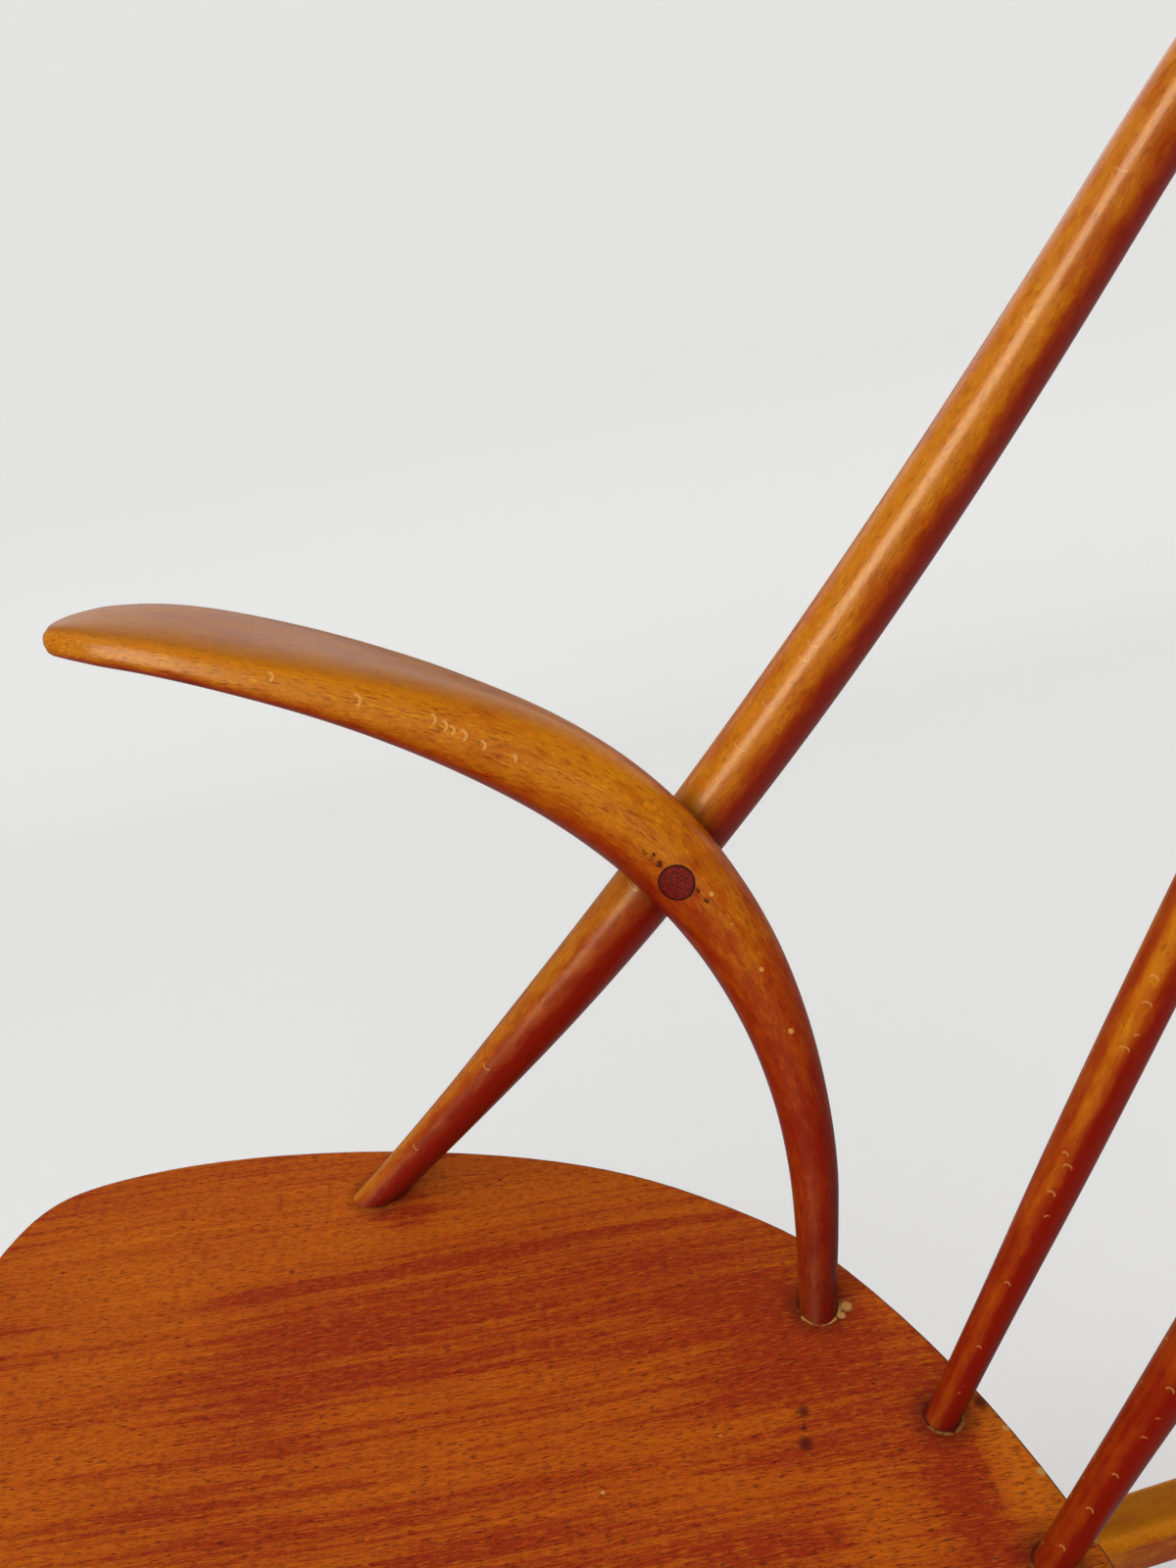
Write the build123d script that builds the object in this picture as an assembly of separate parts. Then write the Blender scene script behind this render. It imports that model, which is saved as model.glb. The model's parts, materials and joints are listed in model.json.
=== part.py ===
from build123d import *
import os
from math import asin, cos, degrees, pi, radians, sin, sqrt, tan

# Hoop back rocking chair. Millimetres, +Z up, the sitter faces -Y.
# The origin is on the floor, under the middle of the chair's bounding box.
#
# The seat, the hoop, the arms and the spindles are drawn in the seat's own frame: its XY plane is
# the top of the seat, its Y axis is the centre line of the seat and its origin is the seat datum.
# The rockers, the legs and the stretchers are drawn in the floor frame.

# ---- where the seat stands
seat_height = 402.0            # top of the seat above the floor, at the seat datum
seat_tilt = 4.0                # degrees, the rear edge is the lower one

# ---- seat: shaped plywood with a veneer on each face
seat_thickness = 22.0
veneer_thickness = 1.0
seat_top_round = 2.5
seat_bottom_round = 5.0
seat_front_y = -262.0
seat_corner_points = [(150.0, -253.0), (246.0, -233.0), (271.0, -218.0), (281.5, -190.0)]
seat_side_points = [(284.3, -152.0), (281.5, -111.0), (263.0, -24.0), (230.0, 50.0), (205.4, 82.2)]
seat_rear_radius = 333.0
seat_rear_y = 160.0
seat_rear_arc_x = 170.0        # half the width of the rear arc

# ---- hoop: one bent round bar, thickest where the arms are fixed
hoop_foot_x = 248.0
hoop_foot_y = -71.5
hoop_flare = 34.0              # how far the hoop's sides lean out over the seat
hoop_shoulder_z = 370.0        # the sides end here and the crown begins
hoop_crown_rise = 242.0
hoop_rake = (1.1586, -1.080e-3, 6.34e-7)    # y = foot + a z + b z^2 + c z^3
hoop_side_z = [-34.0, 0.0, 35.0, 60.0, 85.0, 120.0, 165.0, 210.0, 265.0, 318.0, 370.0]
hoop_side_diameter = [14.6, 15.4, 19.4, 22.8, 25.5, 27.8, 29.1, 29.5, 28.8, 27.3, 25.2]
hoop_crown_angle = [14.0, 28.0, 43.0, 58.0, 74.0, 90.0]
hoop_crown_diameter = [24.6, 24.2, 23.8, 23.4, 23.1, 23.0]
hoop_facing = (0.0, 1.0, -0.9)     # roughly square to the hoop's plane, so its sections don't twist

# ---- arms: each bent in a plane that leans outwards from its foot
arm_foot_x = 155.0
arm_lean = 31.0                # degrees from upright
# along the arm: y, rise up the leaning plane, half width, half depth, twist, squareness of the
# upper and of the lower half
arm_stations = [
    (91.6, -40.0, 6.9, 6.9, 0.0, 2.0, 2.0),
    (96.6, 0.0, 7.0, 7.0, 0.0, 2.0, 2.0),
    (100.3, 26.3, 8.0, 8.0, 0.0, 2.0, 2.0),
    (102.6, 52.0, 9.3, 9.3, 0.0, 2.0, 2.0),
    (101.6, 78.0, 10.5, 10.4, 0.0, 2.0, 2.0),
    (97.0, 105.5, 12.2, 12.1, 0.0, 2.0, 2.0),
    (88.5, 132.5, 14.1, 14.1, 0.0, 2.1, 2.1),
    (76.6, 156.9, 16.0, 15.9, 0.0, 2.1, 2.1),
    (59.3, 182.4, 17.4, 17.7, 1.5, 2.2, 2.2),
    (37.8, 204.8, 19.3, 18.5, 7.0, 2.4, 2.2),
    (13.4, 223.7, 21.3, 17.7, 14.5, 2.6, 2.3),
    (-19.7, 243.3, 23.5, 14.8, 22.5, 3.0, 2.3),
    (-54.1, 259.9, 24.7, 11.6, 28.5, 3.4, 2.3),
    (-89.0, 273.8, 24.2, 9.3, 32.5, 3.6, 2.3),
    (-118.0, 283.1, 21.3, 8.2, 34.5, 3.7, 2.3),
    (-140.0, 287.5, 16.4, 7.2, 35.5, 3.6, 2.3),
    (-151.5, 288.6, 11.1, 6.2, 35.5, 3.4, 2.3),
    (-158.5, 288.8, 6.9, 5.0, 35.5, 3.0, 2.3),
    (-161.4, 288.9, 4.4, 3.8, 35.5, 2.5, 2.2),
    (-162.8, 288.9, 2.0, 2.0, 35.5, 2.2, 2.2),
]
arm_section_points = 16
arm_slant = 0.85               # the sides stay nearly in the bending plane while the top turns level

# ---- the joint where an arm crosses the hoop
plug_diameter = 14.0
plug_length = 9.0
plug_overrun = 4.0             # the plug's hole is cut from this far outside the arm
plug_on_arm = (226.3, 63.2, 149.8)     # middle of the plug's face, sitter's left side
screw_on_hoop = (268.5, 68.6, 137.0)   # the screw is aimed at this point of the hoop's axis
arm_screw_length = 42.0
arm_screw_diameter = 5.0
arm_screw_head_diameter = 9.0
screw_point_length = 4.0
screw_point_radius = 0.4
recess_span = 0.6              # of the screw's head diameter
recess_width = 1.1
recess_depth = 1.2

# ---- spindles
spindle_foot = [(0.0, 143.2), (52.7, 138.4), (104.2, 124.7)]
spindle_top_x = [0.0, 69.0, 162.6]
spindle_socket_depth = 16.0
spindle_at = [0.0, 0.04, 0.11, 0.20, 0.32, 0.50, 0.68, 0.84, 1.0]
spindle_diameter = [10.6, 11.1, 12.4, 14.8, 15.7, 14.6, 12.6, 10.7, 9.2]
spindle_into_hoop = 3.0        # how far the top end passes the hoop's axis

# ---- rockers, drawn from the line where they touch the floor
rocker_contact = (246.0, 5.6)  # x, y of the touching point, below the chair's centre of mass
rocker_toe_in = 1.7            # degrees, the rear ends are the closer ones
rocker_radius = 1500.0
rocker_width = 28.0
rocker_height = 40.0
rocker_round = 10.5
rocker_front_reach = 337.0     # from the touching point to each end
rocker_rear_reach = 420.0

# ---- rails under the seat that take the legs
rail_width = 44.0
rail_thickness = 24.0
rail_round = 3.0
front_rail = (-150.0, 212.0)   # y on the seat, half length
rear_rail = (52.0, 182.0)
rail_screw_x = [0.0, 110.0]
rail_screw_length = 38.0
rail_screw_diameter = 4.0
rail_screw_head_diameter = 8.0

# ---- legs: the top is given on the seat, the foot on the rocker
front_leg_top = (186.0, -150.0)
rear_leg_top = (146.0, 52.0)
front_leg_foot = -212.0        # along the rocker, from the touching point
rear_leg_foot = 189.0
leg_tenon = 24.0               # depth in the rocker
leg_overrun = 12.0             # a leg is drawn past the seat's underside and cut there
leg_at = [0.0, 0.10, 0.30, 0.55, 0.80, 0.93, 1.0]
leg_diameter = [19.0, 21.0, 27.5, 33.0, 30.0, 25.5, 24.0]
pin_diameter = 6.0
pin_proud = 0.6                # how far a pin stands out of the rocker's side

# ---- cross stretchers between the legs
stretcher_part = 0.34          # height on the leg, as a part of its length from the foot
stretcher_tenon = 12.0
stretcher_at = [0.0, 0.08, 0.5, 0.92, 1.0]
stretcher_diameter = [13.0, 14.5, 21.0, 14.5, 13.0]

# ---- wedges that spread the through tenons of the hoop and the arms
wedge_depth = 15.0
wedge_thickness = 3.0
wedge_tip = 0.8
wedge_overrun = 9.0            # a wedge is drawn past the seat's underside and trimmed there
wedge_width = 40.0             # wider than any tenon, trimmed to the tenon's side

big = 900.0                    # larger than the chair's half width, for cutting slabs

os.makedirs("parts", exist_ok=True)
nodes = {}
seat_frame = Pos(0, 0, seat_height) * Rot(-seat_tilt, 0, 0)


# ------------------------------------------------------------------ general shapes
def superellipse_face(plane, half_width, half_depth, slant, upper_squareness, lower_squareness):
    """Closed smooth section with slanted sides, each half between an ellipse and a rectangle."""
    points = []
    for step in range(arm_section_points):
        turn = 2 * pi * step / arm_section_points
        c, s = cos(turn), sin(turn)
        squareness = upper_squareness if s >= 0 else lower_squareness
        x = half_width * abs(c) ** (2 / squareness) * (1 if c >= 0 else -1)
        y = half_depth * abs(s) ** (2 / squareness) * (1 if s >= 0 else -1)
        points.append(plane.from_local_coords((x + slant * y, y)))
    return Face(Wire([Spline(*points, periodic=True)]))


def turned_bar(start, end, at, diameters):
    """Solid of revolution from start to end, with the diameters at parts of its length."""
    length = (end - start).length
    outline = [(diameter / 2, length * part) for part, diameter in zip(at, diameters)]
    side = Spline(*outline)
    foot = Line((0, 0), outline[0])
    axis_line = Line((0, length), (0, 0))
    head = Line(outline[-1], (0, length))
    profile = Plane.XZ * make_face([foot, side, head, axis_line])
    bar = revolve(profile, Axis.Z)
    return Plane(start, z_dir=end - start).location * bar


def cylinder_between(start, end, diameter):
    direction = end - start
    middle = (start + end) / 2
    return Plane(middle, z_dir=direction).location * Cylinder(diameter / 2, direction.length)


def screw_space(head_point, direction, length, diameter, head_diameter):
    """The room a countersunk screw takes up: head face at head_point, shank along direction."""
    head_height = head_diameter / 3
    head = Pos(0, 0, head_height / 2) * Cone(head_diameter / 2, diameter / 2, head_height)
    shank_length = length - head_height - screw_point_length
    shank = Pos(0, 0, head_height + shank_length / 2) * Cylinder(diameter / 2, shank_length)
    point_middle = length - screw_point_length / 2
    point = Pos(0, 0, point_middle) * Cone(diameter / 2, screw_point_radius, screw_point_length)
    return Plane(head_point, z_dir=direction).location * (head + shank + point)


def cross_recess(head_point, direction, head_diameter):
    span = head_diameter * recess_span
    slot = Box(span, recess_width, 2 * recess_depth)
    cross_slot = Box(recess_width, span, 2 * recess_depth)
    return Plane(head_point, z_dir=direction).location * (slot + cross_slot)


def mirrored(shape):
    return mirror(shape, Plane.YZ)


def slab(low_z, high_z):
    return Pos(0, 0, (low_z + high_z) / 2) * Box(2 * big, 2 * big, high_z - low_z)


# ------------------------------------------------------------------ hoop
def hoop_y(z):
    a, b, c = hoop_rake
    return hoop_foot_y + a * z + b * z ** 2 + c * z ** 3


def hoop_side_point(z):
    rest = 1 - z / hoop_shoulder_z
    return Vector(hoop_foot_x + hoop_flare * (1 - rest ** 2), hoop_y(z), z)


def hoop_crown_point(angle):
    half_width = hoop_foot_x + hoop_flare
    z = hoop_shoulder_z + hoop_crown_rise * sin(radians(angle))
    return Vector(half_width * cos(radians(angle)), hoop_y(z), z)


def hoop_crown_z(x):
    return hoop_shoulder_z + hoop_crown_rise * sqrt(1 - (x / (hoop_foot_x + hoop_flare)) ** 2)


def hoop_sections():
    """Circles square to the hoop's axis, from the left foot over the crown to the right foot."""
    left = [(hoop_side_point(z), diameter) for z, diameter in zip(hoop_side_z, hoop_side_diameter)]
    left += [(hoop_crown_point(a), d) for a, d in zip(hoop_crown_angle, hoop_crown_diameter)]
    right = [(Vector(-p.X, p.Y, p.Z), diameter) for p, diameter in reversed(left[:-1])]
    line = left + right
    sections = []
    for number, (point, diameter) in enumerate(line):
        before = line[max(number - 1, 0)][0]
        after = line[min(number + 1, len(line) - 1)][0]
        tangent = (after - before).normalized()
        facing = Vector(*hoop_facing)
        across = facing - tangent * facing.dot(tangent)
        plane = Plane(point, x_dir=across, z_dir=tangent)
        sections.append(plane * Circle(diameter / 2))
    return sections


hoop = loft(hoop_sections()) & slab(-seat_thickness, big)


# ------------------------------------------------------------------ arms
def arm_point(y, rise):
    return Vector(arm_foot_x + rise * sin(radians(arm_lean)), y, rise * cos(radians(arm_lean)))


def arm_sections():
    outward = Vector(cos(radians(arm_lean)), 0, -sin(radians(arm_lean)))
    points = [arm_point(station[0], station[1]) for station in arm_stations]
    sections = []
    for number, (_, _, half_width, half_depth, twist, *squareness) in enumerate(arm_stations):
        before = points[max(number - 1, 0)]
        after = points[min(number + 1, len(points) - 1)]
        tangent = (after - before).normalized()
        wide = outward.rotate(Axis((0, 0, 0), tangent), twist)
        plane = Plane(points[number], x_dir=wide, z_dir=tangent)
        slant = arm_slant * tan(radians(twist))
        sections.append(superellipse_face(plane, half_width, half_depth, slant, *squareness))
    return sections


arm_blank = loft(arm_sections()) & slab(-seat_thickness, big)

plug_face = Vector(*plug_on_arm)
screw_direction = (Vector(*screw_on_hoop) - plug_face).normalized()
plug_start = plug_face - screw_direction * plug_overrun
plug_end = plug_face + screw_direction * plug_length
plug_hole = cylinder_between(plug_start, plug_end, plug_diameter)
plug_left = plug_hole & arm_blank
arm_screw_space = screw_space(plug_end, screw_direction, arm_screw_length,
                              arm_screw_diameter, arm_screw_head_diameter)
arm_screw_left = arm_screw_space - cross_recess(plug_end, screw_direction, arm_screw_head_diameter)
arm_left = arm_blank - hoop - plug_hole - arm_screw_space


# ------------------------------------------------------------------ spindles
def spindle(foot, top_x):
    """A spindle from the bottom of its socket in the seat to just past the hoop's axis."""
    top_z = hoop_crown_z(top_x)
    seat_point = Vector(foot[0], foot[1], 0)
    hoop_point = Vector(top_x, hoop_y(top_z), top_z)
    direction = (hoop_point - seat_point).normalized()
    start = seat_point - direction * (spindle_socket_depth / direction.Z)
    end = hoop_point + direction * spindle_into_hoop
    return turned_bar(start, end, spindle_at, spindle_diameter)


spindles = []
for foot, top_x in zip(reversed(spindle_foot), reversed(spindle_top_x)):
    spindles.append(mirrored(spindle(foot, top_x)))
for foot, top_x in zip(spindle_foot[1:], spindle_top_x[1:]):
    spindles.append(spindle(foot, top_x))


# ------------------------------------------------------------------ wedges in the through tenons
def tenon_wedge(axis_point, direction):
    """A thin wedge driven into a tenon's end from under the seat, across the grain of the seat."""
    to_end = (axis_point.Z + seat_thickness) / direction.Z
    end_point = axis_point - direction * to_end
    taper = (wedge_thickness - wedge_tip) / wedge_depth
    with BuildPart() as wedge:
        with BuildSketch(Plane.XY.offset(-wedge_overrun)):
            Rectangle(wedge_width, wedge_thickness + taper * wedge_overrun)
        with BuildSketch(Plane.XY.offset(wedge_depth)):
            Rectangle(wedge_width, wedge_tip)
        loft()
    sideways = Vector(1, 0, 0)
    across = sideways - direction * sideways.dot(direction)
    return Plane(end_point, x_dir=across, z_dir=direction).location * wedge.part


hoop_foot_point = hoop_side_point(0)
hoop_foot_direction = (hoop_foot_point - hoop_side_point(-seat_thickness)).normalized()
arm_foot_point = arm_point(*arm_stations[1][:2])
arm_foot_direction = (arm_foot_point - arm_point(*arm_stations[0][:2])).normalized()
hoop_wedge_left = tenon_wedge(hoop_foot_point, hoop_foot_direction) & hoop
arm_wedge_left = tenon_wedge(arm_foot_point, arm_foot_direction) & arm_blank

# ------------------------------------------------------------------ seat
rear_centre_y = seat_rear_y - seat_rear_radius
rear_arc_end_y = rear_centre_y + sqrt(seat_rear_radius ** 2 - seat_rear_arc_x ** 2)


def seat_outline():
    side = [(0.0, seat_front_y)] + seat_corner_points + seat_side_points
    side.append((seat_rear_arc_x, rear_arc_end_y))
    towards_rear = (-(rear_arc_end_y - rear_centre_y), seat_rear_arc_x)
    left = Spline(*side, tangents=[(1, 0), towards_rear])
    right = mirror(left, Plane.YZ)
    rear = ThreePointArc((seat_rear_arc_x, rear_arc_end_y), (0, seat_rear_y),
                         (-seat_rear_arc_x, rear_arc_end_y))
    return make_face([left, rear, right])


seat_blank = extrude(seat_outline(), -seat_thickness)
seat_blank = fillet(seat_blank.edges().filter_by(Plane.XY).group_by(Axis.Z)[-1], seat_top_round)
seat_blank = fillet(seat_blank.edges().group_by(Axis.Z)[0], seat_bottom_round)
seat_blank = seat_blank - hoop - arm_blank - mirrored(arm_blank) - spindles
seat_top_veneer = seat_blank & slab(-veneer_thickness, big)
seat_core = seat_blank & slab(veneer_thickness - seat_thickness, -veneer_thickness)
seat_bottom_veneer = seat_blank & slab(-big, veneer_thickness - seat_thickness)


# ------------------------------------------------------------------ rails and their screws
def seat_rail(y, half_length):
    """A batten under the seat, with round ends."""
    outline = Pos(0, y) * SlotOverall(2 * half_length, rail_width)
    rail = extrude(Plane.XY.offset(-seat_thickness) * outline, -rail_thickness)
    return fillet(rail.edges().group_by(Axis.Z)[0], rail_round)


rails = {"front_seat_rail": seat_rail(*front_rail), "rear_seat_rail": seat_rail(*rear_rail)}
rail_screws = []
rail_screw_spaces = []
for y, _ in (front_rail, rear_rail):
    for x in [-rail_screw_x[1]] + rail_screw_x:
        head_point = Vector(x, y, -seat_thickness - rail_thickness)
        space = screw_space(head_point, Vector(0, 0, 1), rail_screw_length,
                            rail_screw_diameter, rail_screw_head_diameter)
        rail_screw_spaces.append(space)
        rail_screws.append(space - cross_recess(head_point, Vector(0, 0, 1), rail_screw_head_diameter))

# ------------------------------------------------------------------ what is drawn on the floor
rocker_place = Pos(rocker_contact[0], rocker_contact[1], 0) * Rot(0, 0, rocker_toe_in)


def rocker_blank():
    """A bent bar of rounded section, with round ends, whose underside is the rolling arc."""
    middle_radius = rocker_radius - rocker_height / 2
    front_angle = -degrees(asin(rocker_front_reach / middle_radius))
    rear_angle = degrees(asin(rocker_rear_reach / middle_radius))
    side_plane = Plane(origin=(0, 0, 0), x_dir=(0, 1, 0), z_dir=(1, 0, 0))
    arc = CenterArc((0, rocker_radius), middle_radius, front_angle - 90, rear_angle - front_angle)
    path = side_plane * arc
    start_plane = Plane(path @ 0, x_dir=(1, 0, 0), z_dir=path % 0)
    section = start_plane * RectangleRounded(rocker_width, rocker_height, rocker_round)
    bar = sweep(section, path=path)
    end_edges = []
    for place in (0, 1):
        for edge in bar.edges():
            if abs((edge @ 0.5 - path @ place).dot(path % place)) < 0.01:
                end_edges.append(edge)
    return rocker_place * fillet(end_edges, rocker_round - 1)


def rocker_point(side, along, height):
    """A point at a place along the rocker, at a height over its underside."""
    bottom = rocker_radius - sqrt(rocker_radius ** 2 - along ** 2)
    return (rocker_place * Pos(side, along, bottom + height)).position


def to_floor_frame(point):
    return (seat_frame * Pos(*point)).position


def leg_ends(top, foot):
    """The two ends of a leg's axis: the foot inside the rocker and the top at the seat."""
    upper = to_floor_frame((top[0], top[1], -seat_thickness))
    rocker_top = rocker_point(0, foot, rocker_height)
    direction = (upper - rocker_top).normalized()
    return rocker_top - direction * leg_tenon, upper + direction * leg_overrun


seat_underside = seat_frame * slab(-big, -seat_thickness)
rocker_left = rocker_blank()
legs = {}
stretchers = {}
pins = []
for name, top, foot in (("front", front_leg_top, front_leg_foot),
                        ("rear", rear_leg_top, rear_leg_foot)):
    lower, upper = leg_ends(top, foot)
    leg = turned_bar(lower, upper, leg_at, leg_diameter) & seat_underside
    half_pin = rocker_width / 2 + pin_proud
    pin_height = rocker_height - leg_tenon / 2
    pin = cylinder_between(rocker_point(-half_pin, foot, pin_height),
                           rocker_point(half_pin, foot, pin_height), pin_diameter)
    crossing = lower + (upper - lower) * stretcher_part
    stretcher_end = crossing + Vector(stretcher_tenon - leg_diameter[2] / 2, 0, 0)
    stretcher = turned_bar(Vector(-stretcher_end.X, stretcher_end.Y, stretcher_end.Z), stretcher_end,
                           stretcher_at, stretcher_diameter)
    pins += [pin, mirrored(pin)]
    legs[name] = leg - pin - stretcher
    stretchers[name] = stretcher
    rocker_left = rocker_left - leg - pin

for name, rail in rails.items():
    for leg in legs.values():
        upright = seat_frame.inverse() * leg
        rail = rail - upright - mirrored(upright)
    rails[name] = rail - rail_screw_spaces
seat_core = seat_core - rail_screw_spaces
seat_bottom_veneer = seat_bottom_veneer - rail_screw_spaces

# ------------------------------------------------------------------ collect the nodes
hoop_wedges = [hoop_wedge_left, mirrored(hoop_wedge_left)]
hoop = hoop - spindles - arm_screw_space - mirrored(arm_screw_space) - hoop_wedges
arm_left = arm_left - arm_wedge_left

seat_nodes = {
    "seat_core": seat_core,
    "seat_top_veneer": seat_top_veneer,
    "seat_bottom_veneer": seat_bottom_veneer,
    "hoop": hoop,
}
seat_nodes.update(rails)
seat_nodes["seat_rail_screws"] = Compound(children=rail_screws)
for number, bar in enumerate(spindles, start=1):
    seat_nodes[f"spindle_{number}"] = bar
handed = {"arm": arm_left, "arm_plug": plug_left, "arm_screw": arm_screw_left,
          "arm_wedge": arm_wedge_left, "hoop_wedge": hoop_wedge_left}
for name, shape in handed.items():
    seat_nodes[f"{name}_left"] = shape
    seat_nodes[f"{name}_right"] = mirrored(shape)

for name, shape in seat_nodes.items():
    nodes[name] = seat_frame * shape
nodes["rocker_left"] = rocker_left
nodes["rocker_right"] = mirrored(rocker_left)
nodes["rocker_pins"] = Compound(children=pins)
for name, leg in legs.items():
    nodes[f"{name}_left_leg"] = leg
    nodes[f"{name}_right_leg"] = mirrored(leg)
    nodes[f"{name}_stretcher"] = stretchers[name]

# ------------------------------------------------------------------ origin and files
box = Compound(children=[shape.moved(Location()) for shape in nodes.values()]).bounding_box()
shift = Pos(0, -(box.min.Y + box.max.Y) / 2, -box.min.Z)
print("seat datum in the chair's frame:", shift * Pos(0, 0, seat_height))
print("chair size:", box.size)

for name, shape in nodes.items():
    export_step(shift * shape, f"parts/{name}.step")
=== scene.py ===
import json
import math

import bmesh
import bpy
from mathutils import Matrix, Vector
from mathutils.bvhtree import BVHTree


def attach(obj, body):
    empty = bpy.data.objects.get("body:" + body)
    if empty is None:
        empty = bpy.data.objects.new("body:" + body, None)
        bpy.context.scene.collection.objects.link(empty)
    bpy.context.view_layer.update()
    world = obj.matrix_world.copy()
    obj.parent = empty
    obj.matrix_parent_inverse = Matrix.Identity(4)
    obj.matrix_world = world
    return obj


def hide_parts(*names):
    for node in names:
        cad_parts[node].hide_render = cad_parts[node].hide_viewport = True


# Looks of the hoop back rocking chair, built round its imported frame.
# The values of each piece are millimetres on the seat: x to the sitter's left, y to the rear,
# z up from the seat. onSeat() turns them into metres in the chair's own frame.

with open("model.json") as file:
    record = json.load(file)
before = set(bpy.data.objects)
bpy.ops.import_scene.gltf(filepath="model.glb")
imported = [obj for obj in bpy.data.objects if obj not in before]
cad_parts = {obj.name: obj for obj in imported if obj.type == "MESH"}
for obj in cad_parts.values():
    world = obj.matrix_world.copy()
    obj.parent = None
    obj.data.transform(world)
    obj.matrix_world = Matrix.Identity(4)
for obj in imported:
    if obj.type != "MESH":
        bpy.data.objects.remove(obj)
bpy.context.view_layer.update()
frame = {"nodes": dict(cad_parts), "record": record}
print("frame loaded")

# where the seat and the rockers stand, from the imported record
mounts = {mount["name"]: mount for mount in frame["record"]["mounts"]}
seatMountY = -60.0          # the seat's mount is this far in front of the seat datum
millimetre = 0.001
hands = ((1, "Left"), (-1, "Right"))

seatAcross = Vector((1, 0, 0))
seatUp = Vector(mounts["seat_surface"]["axis"]).normalized()
seatBack = seatUp.cross(seatAcross)
seatDatum = Vector(mounts["seat_surface"]["pos_m"]) - seatBack * seatMountY * millimetre


def onSeatDirection(x, y, z):
    return seatAcross * x + seatBack * y + seatUp * z


def onSeat(x, y, z):
    return seatDatum + onSeatDirection(x, y, z) * millimetre


def smoothValue(places, values, place):
    # a smooth curve through a table of values, with the slopes of its neighbours
    last = len(places) - 1
    part = 0
    while part < last - 1 and place > places[part + 1]:
        part += 1

    def slope(index):
        low, high = max(index - 1, 0), min(index + 1, last)
        return (values[high] - values[low]) / (places[high] - places[low])

    width = places[part + 1] - places[part]
    t = (place - places[part]) / width
    a = values[part]
    b = values[part + 1]
    slopeA = slope(part) * width
    slopeB = slope(part + 1) * width
    return (a * (2 * t ** 3 - 3 * t ** 2 + 1) + slopeA * (t ** 3 - 2 * t ** 2 + t)
            + b * (3 * t ** 2 - 2 * t ** 3) + slopeB * (t ** 3 - t ** 2))


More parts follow.
